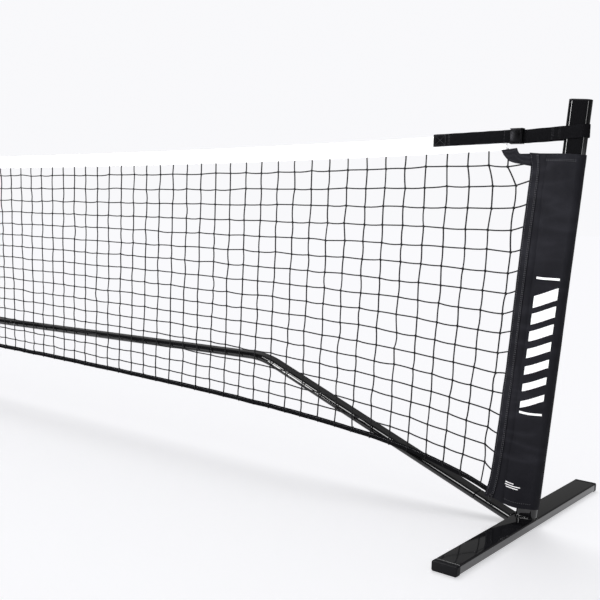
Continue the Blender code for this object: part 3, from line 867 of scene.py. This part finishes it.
def centre_stand(lines):
    floor_beam("centre", 0.0, CENTRE_BEAM_LENGTH)
    sleeve_size = inset(RAIL_TUBE, -(WALL + FIT_GAP))
    right = lines["right"][0]
    middle = right.on_rail(0.0)
    middle = Station(middle.middle, Vector((-1, 0, 0)), middle.across, Vector((0, 0, 1)))
    far = lines["left"][0].on_rail(COUPLER_HALF)
    far = Station(far.middle, -far.way, far.across, far.up)
    form = pipe(Form(), [right.on_rail(COUPLER_HALF), middle, far], sleeve_size)
    coupler = form.piece("centre_coupler_shell", PAINT, "centre_coupler", slot="black_paint")
    axes = (Vector((0, 0, 1)), Vector((1, 0, 0)), Vector((0, 1, 0)))
    high = RAIL_CENTRE.y - sleeve_size[1] / 2 + 0.0004
    rings = [Station(Vector((0, 0, z)), *axes).ring(oval(RAIL_TUBE)) for z in (BEAM_TOP - 0.002, high)]
    form = Form().loft(rings)
    for z in (BEAM_TOP + 0.0006, high - 0.0008):
        bead_round(form, Station(Vector((0, 0, z)), *axes), oval(RAIL_TUBE))
    form.piece("centre_upright_welded", PAINT, "centre_upright", slot="black_paint")
    for prefix, (line, _) in lines.items():
        place = line.side(line.on_rail(COUPLER_BUTTON), 1, sleeve_size[0])
        snap_button(f"{prefix}_button_centre", place, BUTTON_REACH, coupler)


# Net


def top_height(x):
    return TOP_AT_CENTRE + (TOP_AT_END - TOP_AT_CENTRE) * (x / HEADBAND_END) ** SAG_POWER


def from_end(x):
    return HEADBAND_END - min(abs(x), HEADBAND_END)


def band_height(x):
    away = from_end(x)
    return BAND_LOW + sum(rise * (1 - math.exp(-away / length)) for rise, length in BAND_RISES)


def sleeve_tail(along):
    """How far the sleeve's sewn edge is from the post's axis: it flares a little at each end."""
    top = math.exp(-((SLEEVE_HIGH - along) / 0.022) ** 2)
    return SLEEVE_TAIL + 0.0065 * top + 0.013 * math.exp(-(along - SLEEVE_LOW) / 0.05)


def sleeve_edge(height):
    """How far from the net's middle the sleeve's inner edge is, at a height."""
    along = height / math.cos(POST_LEAN)
    return HALF_SPAN + height * math.tan(POST_LEAN) - sleeve_tail(along) / math.cos(POST_LEAN)


def column_x(k):
    t = 2 * k / (COLUMNS - 1) - 1
    return FIRST_COLUMN * (t + 0.012 * math.sin(math.pi * t) / math.pi)


def column_shift(x, rise):
    """Columns lean with the post near it, the other way farther in, and hang straighter above."""
    away = from_end(x)
    near = 0.026 * math.exp(-((away / 0.9) ** 2)) + 0.052 * math.exp(-((away / 0.13) ** 2))
    far = 0.062 * math.exp(-(((away - 2.15) / 0.55) ** 2))
    return math.copysign(1.0, x) * (near * (rise if rise < 0 else 0.5 * rise) - far * rise)


def row_height(x, row):
    """A row's height: row 0 is the headband's lower edge, and the last is the bottom band."""
    away = from_end(x)
    low_edge = top_height(x) - HEADBAND_HEIGHT
    if row == 0:
        return low_edge + 0.004
    high = low_edge - 0.027 - 0.0035 * math.exp(-((away / 1.2) ** 2))
    low = band_height(x) + 0.020 * math.exp(-away / 0.07)
    if row > ROWS:
        return band_height(x) + BAND_HEIGHT / 2 - 0.001
    t = (row - 1) / ROWS
    return high + (low - high) * t - 0.075 * t * (1 - t)


def wander(first, second, sag, sway, pieces=3):
    """A string's points between two knots, a little bowed."""
    bow = Vector((random.gauss(0, sway), random.gauss(0, sway), random.gauss(0, sway) - sag))
    line = []
    for i in range(pieces):
        t = i / pieces
        line.append(first.lerp(second, t) + bow * (4 * t * (1 - t)))
    return [*line, second]


def string_net():
    """Knotted twine hung between the headband, the bottom band and the sleeves."""
    knots = {}
    for k in range(COLUMNS):
        base = column_x(k)
        for row in range(ROWS + 2):
            z = row_height(base, row)
            x = base + column_shift(base, z - 0.6)
            if row < 2:
                x -= math.copysign((0.022 + 0.006 * (row == 0)) * math.exp(-from_end(base) / 0.07), x)
            z = row_height(x, row)
            if row == 1 and k in (0, COLUMNS - 1):
                z -= 0.0065
            loose = 0.0011 if 0 < row <= ROWS else 0.0
            shift = [random.gauss(0, loose * share) for share in (1.0, 0.7, 1.0)]
            knots[k, row] = Vector((x, NET_Y, z)) + Vector(shift)
    lines = []
    for k in range(COLUMNS):
        for row in range(ROWS + 1):
            lines.append(wander(knots[k, row], knots[k, row + 1], 0.0, 0.0008))
    for row in range(1, ROWS + 1):
        for k in range(COLUMNS - 1):
            lines.append(wander(knots[k, row], knots[k + 1, row], 0.0009, 0.0007))
    for k, side in ((0, -1), (COLUMNS - 1, 1)):
        for row in range(1, ROWS + 1):
            start = knots[k, row]
            height = start.z + random.uniform(0.007, 0.012) - 0.0042 * max(0, row - 9)
            end = Vector((side * (sleeve_edge(height) + 0.004), NET_Y, height))
            lines.append(wander(start, end, 0.0008, 0.0008))
    points, edges = chains(lines)
    size, panel = {"Radius": TWINE_RADIUS}, ("net_panel",)
    grow("net_twine", points, edges, STRANDS, size, TWINE, panel, "net_twine")
    dots = [spot for (_, row), spot in knots.items() if 0 < row <= ROWS]
    grow("net_knots", dots, [], KNOTS, {"Size": KNOT_SIZE}, TWINE, panel, "net_twine")
    lashings(knots)


def lashings(knots):
    """A loop of twine round the bottom band under each column, slanted as it is pulled."""
    lines = []
    for k in range(COLUMNS):
        foot = knots[k, ROWS + 1]
        tilt = random.uniform(-0.004, 0.004)
        half, depth = BAND_HEIGHT / 2 + 0.0008, 0.0030
        centre = band_height(foot.x)
        loop = []
        for step in range(13):
            angle = 2 * math.pi * step / 12
            rise = half * math.cos(angle)
            loop.append(
                Vector((foot.x + tilt * rise / half, NET_Y + depth * math.sin(angle), centre + rise))
            )
        lines.append(loop)
    grow("net_lashings", *chains(lines), STRANDS, {"Radius": LASHING_RADIUS}, TWINE, (), "net_twine")


def net_places(end, count=260):
    """Places along the net, closer together near its ends."""
    places = []
    for step in range(count + 1):
        t = 2 * step / count - 1
        places.append(end * math.copysign(1 - (1 - abs(t)) ** 1.5, t))
    return places


def ripple(x, z, scale, reach):
    return reach * noise.noise(Vector((x * scale, z * scale, 0.37)))


def tape_slack(x, depth):
    """How far the headband swings out of the net's plane at a depth below its top."""
    return ripple(x, 0.0, 5.0, 0.0012) * depth / HEADBAND_HEIGHT


def headband():
    """A strip of coated cloth folded over the top cord, its two layers sewn together low down."""
    half, cloth, cord = TAPE_HALF, 0.0008, 0.0026

    def skin(by):
        """One side's profile: (depth below the top, distance from the middle), from low to high."""
        spots = [(HEADBAND_HEIGHT, half - by), (0.036, half - by - 0.0003), (0.027, half - by + 0.0001)]
        spots += [(0.016, half - by), (0.0098, half - by - 0.0002)]
        for step in range(7):
            angle = math.radians(-42 + 132 * step / 6)
            spots.append((0.0032 - (cord - by) * math.sin(angle) * 1.15, (cord - by) * math.cos(angle)))
        return spots

    outer, inner = skin(0.0), skin(cloth)
    loop = [(v, -y) for v, y in outer] + [(v, y) for v, y in reversed(outer[:-1])]
    loop += [(v, y) for v, y in inner] + [(v, -y) for v, y in reversed(inner[:-1])]
    top = min(v for v, _ in loop)
    rings = []
    for x in net_places(HEADBAND_END):
        ring = []
        for v, y in loop:
            depth = v - top
            pucker = ripple(x, v, 70.0, 0.0003) * min(1.0, depth / 0.02)
            ring.append(Vector((x, NET_Y + y + tape_slack(x, depth) + pucker, top_height(x) - depth)))
        rings.append(ring)
    made = Form().loft(rings).piece(
        "net_headband_cloth", TAPE, "net_headband", slot="headband_vinyl", angle=60.0
    )
    seams = []
    for facing in (-1, 1):
        for depth in (0.0102, 0.0352, 0.0382):
            line = []
            for x in net_places(HEADBAND_END - 0.003, 700):
                y = NET_Y + facing * (half + 0.0001) + tape_slack(x, depth)
                line.append(Vector((x, y, top_height(x) - depth)))
            seams.append(line)
    sewn = stitch("net_headband_stitches", seams, WHITE_STITCHES, 0.0046, 0.0017, 0.00033)
    return made, sewn


def bottom_band():
    """A black tape folded over the bottom cord."""
    end = sleeve_edge(BAND_LOW) + 0.010
    section = rounded_box(0.0032, -BAND_HEIGHT / 2, BAND_HEIGHT / 2, 0.0014, 4)
    rings = []
    for x in net_places(end, 300):
        turn = ripple(x, 3.0, 9.0, 0.25)
        lift = ripple(x, 7.0, 14.0, 0.0012)
        centre = Vector((x, NET_Y + 0.3 * lift, band_height(x) + lift))
        ring = []
        for u, v in section:
            ring.append(centre + Vector((0, u * math.cos(turn) - v * math.sin(turn) * 0.5, v)))
        rings.append(ring)
    Form().loft(rings).piece("net_bottom_band_tape", WEBBING, "net_bottom_band", slot="webbing")
    seams = [
        [Vector((x, NET_Y + y, band_height(x) + 0.0035)) for x in net_places(end - 0.02, 600)]
        for y in (-0.0017, 0.0017)
    ]
    stitch("net_bottom_band_stitches", seams, pitch=0.0050)


# Sleeves


def sleeve_plan(tail):
    """The sleeve's outside in plan, from its sewn edge along the front, round the post and back."""
    front_y, back_y, side = -0.0150, 0.0178, 0.0115
    spots = []
    for i in range(FRONT_SPOTS):
        t = i / FRONT_SPOTS
        y = NET_Y - 0.0012 + (front_y - NET_Y + 0.0012) * t
        spots.append(Vector((-tail + (tail + side) * t, y)))
    radius, middle = (back_y - front_y) / 2, (back_y + front_y) / 2
    for i in range(19):
        angle = math.radians(-90 + 180 * i / 18)
        spots.append(Vector((side + radius * math.cos(angle), middle + radius * math.sin(angle))))
    for i in range(1, 6):
        spots.append(Vector((side - 2 * side * i / 6, back_y)))
    a, b = Vector((-side, back_y)), Vector((-0.027, back_y))
    c, d = Vector((-0.034, NET_Y + 0.0024)), Vector((-0.058, NET_Y + 0.0013))
    for i in range(16):
        t = i / 16
        weights = ((1 - t) ** 3, 3 * t * (1 - t) ** 2, 3 * t * t * (1 - t), t**3)
        pulls = (corner * weight for corner, weight in zip((a, b, c, d), weights))
        spots.append(sum(pulls, Vector((0.0, 0.0))))
    for i in range(9):
        t = i / 8
        spots.append(d + (Vector((-tail, NET_Y + 0.0012)) - d) * t)
    return spots


def sleeve_low(x):
    """Where the sleeve's lower edge is along the post: it sags in the middle."""
    lifted = 0.0045 * min(1.0, max(0.0, (-x - 0.05) / 0.03))
    return SLEEVE_LOW + lifted - 0.007 * math.exp(-(((x + 0.024) / 0.035) ** 2))


def sleeve_rise(x, along):
    """A height between the sleeve's lower edge and its top, which drops a little towards the net."""
    low = sleeve_low(x)
    high = SLEEVE_HIGH - 0.0045 * min(1.0, max(0.0, (-x - 0.01) / 0.07))
    return low + (high - low) * (along - SLEEVE_LOW) / (SLEEVE_HIGH - SLEEVE_LOW)


def plan_normals(spots):
    normals = []
    for i in range(len(spots)):
        step = spots[min(i + 1, len(spots) - 1)] - spots[max(i - 1, 0)]
        normals.append(Vector((step.y, -step.x)).normalized())
    return normals


def fold_depth(x, along, back):
    """How far the cloth stands out of its plan: long soft folds, and short ones where it is gathered."""
    spot = Vector((x * 9.0 + (4.0 if back else 0.0), along * 5.0 + x * 6.0, 1.7))
    depth = 0.0030 * noise.noise(spot)
    depth += 0.0013 * noise.noise(Vector((x * 34.0 + 14.0 * along, along * 15.0, 5.1 + back)))
    gathered = math.exp(-(SLEEVE_HIGH - along) / 0.05)
    depth += 0.0010 * gathered * math.sin(x * 260.0 + 3.0 * math.sin(along * 60.0))
    return depth


def sleeve_spot(spot, normal, along, back, inward=0.0):
    """A point of the sleeve in the post's frame."""
    sewn = min(1.0, max(0.0, (-spot.x - 0.040) / 0.030))
    shared = fold_depth(spot.x, along, False)
    own = fold_depth(spot.x, along, back)
    stand = (own * 0.8 + 0.0004) * (1 - sewn)
    tight = 1.0 - 0.75 * min(1.0, max(0.0, spot.x / 0.02))
    offset = normal * (stand * tight - inward)
    x = spot.x + offset.x
    y = spot.y + offset.y + shared * sewn * 1.2
    return Vector((x, y, sleeve_rise(spot.x, along)))


def placed(sign, point):
    """A point of the right-hand post's frame, on the post of this sign, in the CAD frame."""
    spot = post_frame(1) @ point
    return Vector((sign * spot.x, spot.y, spot.z))


def sleeve_front(x, along, proud=0.0):
    """A point on the sleeve's front, in the right-hand post's frame."""
    plan = sleeve_plan(sleeve_tail(along))
    normals = plan_normals(plan)
    for i in range(FRONT_SPOTS - 1):
        if plan[i].x <= x <= plan[i + 1].x:
            t = (x - plan[i].x) / (plan[i + 1].x - plan[i].x)
            spot = plan[i].lerp(plan[i + 1], t)
            return sleeve_spot(spot, normals[i], along, False, -proud)
    return sleeve_spot(plan[FRONT_SPOTS], normals[FRONT_SPOTS], along, False, -proud)


def sleeve_heights(count=72):
    return [SLEEVE_LOW + (SLEEVE_HIGH - SLEEVE_LOW) * i / count for i in range(count + 1)]


def sleeve(prefix, sign):
    outer, inner = [], []
    for along in sleeve_heights():
        plan = sleeve_plan(sleeve_tail(along))
        normals = plan_normals(plan)
        for rings, by in ((outer, 0.0), (inner, SLEEVE_CLOTH)):
            ring = []
            for i, (spot, normal) in enumerate(zip(plan, normals)):
                ring.append(placed(sign, sleeve_spot(spot, normal, along, i > BACK_SPOTS, by)))
            rings.append(ring)
    rings = outer + list(reversed(inner))
    cloth = Form().loft(rings, ends="joined").piece(
        f"{prefix}_sleeve_cloth", SLEEVE, f"{prefix}_sleeve", slot="sleeve_fabric", angle=70.0
    )
    binding = sleeve_binding(prefix, sign)
    hem_seams, edge_seams = [], []
    for height in (0.8430, 0.8462, 0.0600):
        xs = [-0.080 + 0.004 * i for i in range(24)]
        hem_seams.append([placed(sign, sleeve_front(x, height, 0.0003)) for x in xs])
    for away in (0.0035, 0.0150, 0.0178):
        edge_seams.append(
            [
                placed(sign, sleeve_front(-sleeve_tail(along) + away, along, 0.0021 + 0.06 * away))
                for along in sleeve_heights(150)[1:-1]
            ]
        )
    seams = stitch(f"{prefix}_sleeve_stitches", hem_seams + edge_seams)
    motif = sleeve_motif(prefix, sign)


def sleeve_binding(prefix, sign):
    """A strip of tape folded over the sleeve's sewn edge."""
    rings = []
    for along in sleeve_heights(110):
        tail = sleeve_tail(along)
        shared = 1.2 * fold_depth(-tail, along, False)
        pucker = ripple(along, 2.0, 55.0, 0.0004)
        half = 0.0027 + pucker * 0.3
        shares = [i / 6 for i in range(7)]
        spots = [(BINDING_WIDTH * t - tail, -half) for t in reversed(shares)]
        spots += [(BINDING_WIDTH * t - tail, half) for t in shares]
        ring, inner = [], []
        for x, y in spots:
            fold = 1.2 * fold_depth(x, along, False)
            drift = (0.0123 / (tail + 0.0108)) * (x + tail) * 0.6
            middle = NET_Y + fold + drift
            ring.append((x, middle + y))
            inner.append((max(x, -tail - 0.0002), middle + y - math.copysign(0.0012, y)))
        inner.reverse()
        edge = [(-tail - 0.0013, NET_Y + y + shared) for y in (-0.0012, 0.0012)]
        loop = ring[:7] + edge + ring[7:] + inner
        height = sleeve_rise(-tail, along) + 0.001 * (2 * along / SLEEVE_HIGH - 1)
        rings.append([placed(sign, Vector((x, y, height))) for x, y in loop])
    tape = Form().loft(rings)
    return tape.piece(f"{prefix}_sleeve_binding", SLEEVE, slot="sleeve_fabric", angle=60.0)


def sleeve_motif(prefix, sign):
    """A plain print: slanted bars that grow wider up the sleeve, between two rules."""
    left, right, low, high = -0.040, 0.0105, 0.270, 0.585
    slant, count = 0.45, 7
    pitch = (high - low - 0.022 - slant * (right - left)) / count
    bars = [(left, right, low, 0.0050, 0.0), (left, right, high - 0.0050, 0.0050, 0.0)]
    for i in range(count):
        bars.append((left, right, low + 0.012 + pitch * i, pitch * (0.40 + 0.05 * i), slant))
    rules = ((-0.060, -0.032, 0.1010), (-0.053, -0.016, 0.0955), (-0.049, -0.021, 0.0905))
    bars += [(x_low, x_high, z, 0.0018, 0.0) for x_low, x_high, z in rules]
    form = Form()
    for x_low, x_high, start, width, slope in bars:
        columns = max(2, round((x_high - x_low) / 0.004))
        rows = max(2, round(width / 0.005))
        rings = []
        for j in range(columns + 1):
            x = x_low + (x_high - x_low) * j / columns
            heights = [start + slope * (x - x_low) + width * i / rows for i in range(rows + 1)]
            near = [sleeve_front(x, along, 0.00035) for along in heights]
            far = [sleeve_front(x, along, -0.0002) for along in reversed(heights)]
            rings.append([placed(sign, point) for point in near + far])
        form.loft(rings)
    return form.piece(f"{prefix}_sleeve_motif", PRINT, angle=60.0)


def gusset(prefix, sign):
    """The gathered cloth that joins the headband's end to the sleeve's top corner."""
    top = [(-0.0960, 0.8665), (-0.0860, 0.8675), (-0.0760, 0.8683), (-0.0650, 0.8698)]
    top += [(-0.0592, 0.8707), (-0.0560, 0.8640), (-0.0530, 0.8590), (-0.0488, 0.8576)]
    top += [(-0.0370, 0.8574), (-0.0235, 0.8574)]
    low = [(-0.0950, 0.8650), (-0.0900, 0.8555), (-0.0845, 0.8492), (-0.0795, 0.8441)]
    low += [(-0.0740, 0.8408), (-0.0669, 0.8383), (-0.0600, 0.8364), (-0.0498, 0.8348)]
    low += [(-0.0370, 0.8322), (-0.0235, 0.8298)]
    rings = []
    steps = 8
    for i in range((len(top) - 1) * 4 + 1):
        t = i / 4
        k = min(int(t), len(top) - 2)
        high_spot = Vector(top[k]).lerp(Vector(top[k + 1]), t - k)
        low_spot = Vector(low[k]).lerp(Vector(low[k + 1]), t - k)
        front, back = [], []
        for j in range(steps + 1):
            spot = low_spot.lerp(high_spot, j / steps)
            folds = 0.0011 * math.sin(j * 1.9 + 2.2 * math.sin(t * 0.9)) * min(1.0, t / 2)
            y = NET_Y - 0.0034 + folds + 0.0008 * min(1.0, t / 4)
            for side, by in ((front, -0.0007), (back, 0.0007)):
                side.append(Vector((sign * (HALF_SPAN + spot.x), y + by, spot.y)))
        rings.append(front + list(reversed(back)))
    Form().loft(rings).piece(f"{prefix}_sleeve_gusset", SLEEVE, slot="sleeve_fabric", angle=60.0)


def corner_hook(prefix, sign):
    """A short loop of dark elastic that holds the bottom band to the sleeve's corner."""
    path = []
    for i in range(25):
        angle = 2 * math.pi * i / 24
        x = HALF_SPAN - 0.0765 + 0.0038 * math.cos(angle)
        y = NET_Y - 0.0042 - 0.0012 * math.sin(2 * angle)
        path.append(Vector((sign * x, y, 0.0575 + 0.0070 * math.sin(angle))))
    net = strand_network(CORNER_CORD)
    grow(f"{prefix}_corner_loop", *chains([path]), net, {"Radius": 0.0013}, CORNER_CORD)


# Straps and buckles


def strap_lift(x):
    """How far the strap's middle is above its height in the buckle: it rises to the post."""
    rise = STRAP_RISE * max(0.0, x - BUCKLE_RIGHT - 0.003)
    return rise - STRAP_FALL * max(0.0, BUCKLE_LEFT - 0.010 - x)


def strap_piece(name, path, sign, node):
    """Webbing on edge along a plan path of (x from the post's floor point, y)."""
    flat = spread([Vector((x, y, 0.0)) for x, y in path], 0.0025)
    smooth = list(flat)
    for _ in range(3):
        smooth = [smooth[0]] + [
            (a + b * 2 + c) / 4 for a, b, c in zip(smooth, smooth[1:], smooth[2:])
        ] + [smooth[-1]]
    section = rounded_box(STRAP_THICK, -STRAP_HEIGHT / 2, STRAP_HEIGHT / 2, 0.0006, 3)
    rings = []
    for i, spot in enumerate(smooth):
        way = (smooth[min(i + 1, len(smooth) - 1)] - smooth[max(i - 1, 0)]).normalized()
        side = Vector((way.y, -way.x, 0.0))
        lift = 0.0004 * math.sin(i * 0.35)
        ring = []
        for u, v in section:
            point = spot + side * u
            height = STRAP_MIDDLE + strap_lift(point.x) + v + lift * v / 0.03
            ring.append(Vector((sign * (HALF_SPAN + point.x), point.y, height)))
        rings.append(ring)
    return Form().loft(rings).piece(name, WEBBING, node, slot="webbing", angle=50.0)


def arc(centre, radius, start, end, steps):
    for step in range(steps + 1):
        angle = math.radians(start + (end - start) * step / steps)
        yield (centre[0] + radius * math.cos(angle), centre[1] + radius * math.sin(angle))


def straps(prefix, sign):
    post_x = STRAP_ON_POST * math.tan(POST_LEAN)
    round_radius = POST_TUBE[1] / 2 + STRAP_THICK / 2 + 0.0006
    flat = (POST_TUBE[0] - POST_TUBE[1]) / 2 + 0.0012
    behind_tape = NET_Y + 0.002 + STRAP_THICK / 2 + FIT_GAP + 0.0007
    through_cam = NET_Y + 0.0006
    path = [(ANCHOR_BAR.x + 0.0055, through_cam), (BUCKLE_RIGHT + 0.003, through_cam)]
    path.append((post_x - flat - 0.002, -round_radius))
    path += arc((post_x + flat, 0.0), round_radius, -90, 90, 24)
    path.append((post_x - flat - 0.003, round_radius + 0.0004))
    path.append((BUCKLE_LEFT - 0.012, behind_tape))
    path.append((BUCKLE_LEFT - 0.110, behind_tape))
    strap_piece(f"{prefix}_strap_loop_webbing", path, sign, f"{prefix}_strap_loop")
    before_tape = NET_Y - 0.0031
    path = [(STRAP_SEWN_END, before_tape), (BUCKLE_LEFT - 0.008, before_tape)]
    path += arc(ANCHOR_BAR, PIN_RADIUS + STRAP_THICK / 2 + FIT_GAP, -100, 80, 14)
    path.append((BUCKLE_LEFT - 0.0055, ANCHOR_BAR.y + 0.0025))
    strap_piece(f"{prefix}_strap_tail_webbing", path, sign, f"{prefix}_strap_tail")
    strap_stitches(prefix, sign, before_tape, post_x)


def strap_stitches(prefix, sign, before_tape, post_x):
    """Box seams at the tail's end, and bars where the loop is sewn to itself."""

    def spot(x, y, z):
        return Vector((sign * (HALF_SPAN + x), y, STRAP_MIDDLE + strap_lift(x) + z))

    y = before_tape - STRAP_THICK / 2 - 0.0001
    left, right, high = STRAP_SEWN_END + 0.004, STRAP_SEWN_END + 0.032, 0.0115
    box = [(left, -high), (right, -high), (right, high), (left, high), (left, -high), (right, high)]
    seams = [[spot(x, y, z) for x, z in box], [spot(left, y, high), spot(right, y, -high)]]
    for x in (STRAP_SEWN_END + 0.040, STRAP_SEWN_END + 0.043, BUCKLE_LEFT - 0.0155):
        seams.append([spot(x, y, -high), spot(x, y, high)])
    near, far = Vector((BUCKLE_RIGHT + 0.003, NET_Y + 0.0006)), Vector((post_x - 0.0157, -0.0139))
    for x in (0.0170, 0.0200, 0.0325, 0.0355):
        t = (x - near.x) / (far.x - near.x)
        face = near.y + (far.y - near.y) * t - STRAP_THICK / 2 - 0.0001
        seams.append([spot(x, face, -high), spot(x, face, high)])
    stitch(f"{prefix}_strap_stitches", seams, pitch=0.0030, length=0.0011, radius=0.00040)


def block(form, sign, low, high, corner=0.0006):
    """A rounded box between two corners: x from the post, y, and z from the strap's middle."""
    low, high = Vector(low), Vector(high)
    middle, size = (low + high) / 2, high - low
    edges = ((0.0, corner), (0.3 * corner, 0.3 * corner), (corner, 0.0))
    heights = [(rise - size.z / 2, by) for rise, by in edges]
    heights += [(-z, by) for z, by in reversed(heights)]
    rings = []
    for z, by in heights:
        reach = size.y / 2 - by
        section = rounded_box(size.x - 2 * by, -reach, reach, min(corner, size.y / 2.2), 3)
        ring = []
        for u, v in section:
            x = HALF_SPAN + middle.x + u
            ring.append(Vector((sign * x, middle.y + v, STRAP_MIDDLE + middle.z + z)))
        rings.append(ring)
    form.loft(rings)
    return form


def buckle(prefix, sign):
    form = Form()
    half = BUCKLE_HEIGHT / 2
    block(form, sign, (BUCKLE_LEFT, BUCKLE_BACK - 0.0013, -half), (BUCKLE_RIGHT, BUCKLE_BACK, half))
    for end in (-1, 1):
        z_low, z_high = sorted((end * half, end * (half - 0.0024)))
        low, high = (BUCKLE_LEFT, BUCKLE_FRONT, z_low), (BUCKLE_RIGHT, BUCKLE_BACK - 0.0005, z_high)
        block(form, sign, low, high)
    for bar in (ANCHOR_BAR, CAM_PIVOT):
        matrix = Matrix.Translation((sign * (HALF_SPAN + bar.x), bar.y, STRAP_MIDDLE))
        reach = half - 0.0008
        lathe(form, matrix, [(PIN_RADIUS, -reach), (PIN_RADIUS, reach)], 16)
        for end in (-1, 1):
            rivet = ((0.0001, 0.0006), (0.0016, 0.0004), (0.0022, -0.0003), (0.0022, -0.001))
            lathe(form, matrix, [(radius, end * (half + rise)) for radius, rise in rivet], 16)
    form.piece(f"{prefix}_buckle_channel", BUCKLE, f"{prefix}_buckle_frame", slot="buckle_metal")

    form = Form()
    height = half - 0.0024 - FIT_GAP
    matrix = Matrix.Translation((sign * (HALF_SPAN + CAM_PIVOT.x), CAM_PIVOT.y, STRAP_MIDDLE))
    profile = [(0.0019, -height), (CAM_RADIUS - 0.0005, -height), (CAM_RADIUS, -height + 0.0005)]
    profile += [(radius, -z) for radius, z in reversed(profile)]
    lathe_ring(form, matrix, profile)
    front = CAM_PIVOT.y - CAM_RADIUS
    block(form, sign, (BUCKLE_LEFT + 0.001, front, -height), (CAM_PIVOT.x, front + 0.0018, height))
    name, node, body = f"{prefix}_buckle_cam", f"{prefix}_buckle_lever", f"{prefix}_lever"
    form.piece(name, BUCKLE, node, slot="buckle_metal", body=body)


def lathe_ring(form, matrix, profile, sides=32):
    """A turned ring with a bore: the profile closes on itself."""
    rings = []
    for step in range(sides):
        angle = 2 * math.pi * step / sides
        way = Vector((math.cos(angle), math.sin(angle), 0.0))
        rings.append([matrix @ (way * radius + Vector((0.0, 0.0, z))) for radius, z in profile])
    return form.loft(rings, ends="joined")


# The whole net


def build():
    lines = {}
    for prefix, sign in SIDES.items():
        floor_beam(prefix, sign * HALF_SPAN, END_BEAM_LENGTH)
        post(prefix, sign)
        lines[prefix] = brace_and_rails(prefix, sign)
        sleeve(prefix, sign)
        gusset(prefix, sign)
        corner_hook(prefix, sign)
        straps(prefix, sign)
        buckle(prefix, sign)
    centre_stand(lines)
    tape, sewn = headband()
    bottom_band()
    string_net()


# Studio


def lamp(name, place, aim, size, power, glossy=True):
    data = bpy.data.lights.new(name, "AREA")
    data.shape = "RECTANGLE"
    data.size, data.size_y = size
    data.energy = power
    made = bpy.data.objects.new(name, data)
    made.location = place
    made.rotation_euler = (Vector(aim) - Vector(place)).to_track_quat("-Z", "Y").to_euler()
    made.visible_glossy = glossy
    scene.collection.objects.link(made)
    return made


def sun(name, way, angle, strength):
    """Lights the floor evenly, and is left out of reflections."""
    data = bpy.data.lights.new(name, "SUN")
    data.energy = strength
    data.angle = math.radians(angle)
    made = bpy.data.objects.new(name, data)
    made.rotation_euler = Vector(way).to_track_quat("-Z", "Y").to_euler()
    made.visible_glossy = False
    scene.collection.objects.link(made)


def studio():
    pale = Look("studio_floor", (0.80, 0.80, 0.815), 0.9, Specular_IOR_Level=0.0)
    pale.set("Emission Color", (0.985, 0.985, 1.0, 1.0))
    pale.set("Emission Strength", FLOOR_GLOW)
    form = Form()
    corners = [Vector((x, y, 0.0)) for x, y in ((-60, -60), (60, -60), (60, 60), (-60, 60))]
    face = form.mesh.faces.new([form.mesh.verts.new(corner) for corner in corners])
    face.normal_update()
    data = bpy.data.meshes.new("floor")
    form.mesh.to_mesh(data)
    form.mesh.free()
    data.materials.append(pale.material)
    floor = bpy.data.objects.new("floor", data)
    scene.collection.objects.link(floor)

    world = bpy.data.worlds.new("studio")
    scene.world = world
    world.use_nodes = True
    tree = world.node_tree
    back = tree.nodes["Background"]
    rays = tree.nodes.new("ShaderNodeLightPath")
    spot = tree.nodes.new("ShaderNodeTexCoord")
    split = tree.nodes.new("ShaderNodeSeparateXYZ")
    tree.links.new(spot.outputs["Generated"], split.inputs[0])
    gradient = tree.nodes.new("ShaderNodeMapRange")
    tree.links.new(split.outputs[1], gradient.inputs["Value"])
    for socket, value in (("From Min", -0.2), ("From Max", 0.5), ("To Min", 0.04), ("To Max", 0.15)):
        gradient.inputs[socket].default_value = value
    chosen = gradient.outputs[0]
    seen = {"Is Diffuse Ray": (0.27, 0.27, 0.28, 1.0), "Is Camera Ray": (0.945, 0.945, 0.965, 1.0)}
    for ray, colour in seen.items():
        mix = tree.nodes.new("ShaderNodeMix")
        mix.data_type = "RGBA"
        tree.links.new(rays.outputs[ray], mix.inputs[0])
        tree.links.new(chosen, mix.inputs[6])
        mix.inputs[7].default_value = colour
        chosen = mix.outputs[2]
    tree.links.new(chosen, back.inputs["Color"])

    lamps = [
        lamp("overhead_left", (-2.2, -2.6, 3.6), (-2.4, -0.2, 0.2), (3.5, 1.8), 55, glossy=False),
        lamp("behind", (1.0, 3.5, 3.0), (1.0, 0.0, 0.3), (5.0, 1.5), 50, glossy=False),
        lamp("top_strip", (2.7, -1.65, 3.0), (2.9, 0.0, 0.15), (3.4, 1.10), 135),
        lamp("left_strip", (1.40, -2.40, 1.25), (3.4, 0.0, 0.9), (0.36, 1.5), 36),
        lamp("right_strip", (5.90, -1.70, 1.30), (3.4, 0.0, 0.9), (0.34, 1.5), 10),
    ]
    lit = bpy.data.collections.new("all_but_the_floor")
    lit.objects.link(floor)
    lit.collection_objects[0].light_linking.link_state = "EXCLUDE"
    for made in lamps:
        made.light_linking.receiver_collection = lit
    sun("floor_sun", (0.35, -0.38, -0.86), 38, 1.0)


def camera():
    level = math.cos(PITCH)
    forward = Vector((-math.sin(YAW) * level, math.cos(YAW) * level, -math.sin(PITCH)))
    right = Vector((math.cos(YAW), math.sin(YAW), 0.0))
    up = right.cross(forward)
    side = right * math.cos(ROLL) + up * math.sin(ROLL)
    top = up * math.cos(ROLL) - right * math.sin(ROLL)
    data = bpy.data.cameras.new("camera")
    data.lens = CAMERA_LENS
    data.clip_end = 200.0
    made = bpy.data.objects.new("camera", data)
    axes = Matrix((side, top, -forward)).transposed().to_4x4()
    made.matrix_world = Matrix.Translation(CAMERA_PLACE) @ axes
    scene.collection.objects.link(made)
    scene.camera = made


build()
studio()
camera()
scene.view_settings.view_transform = "Standard"
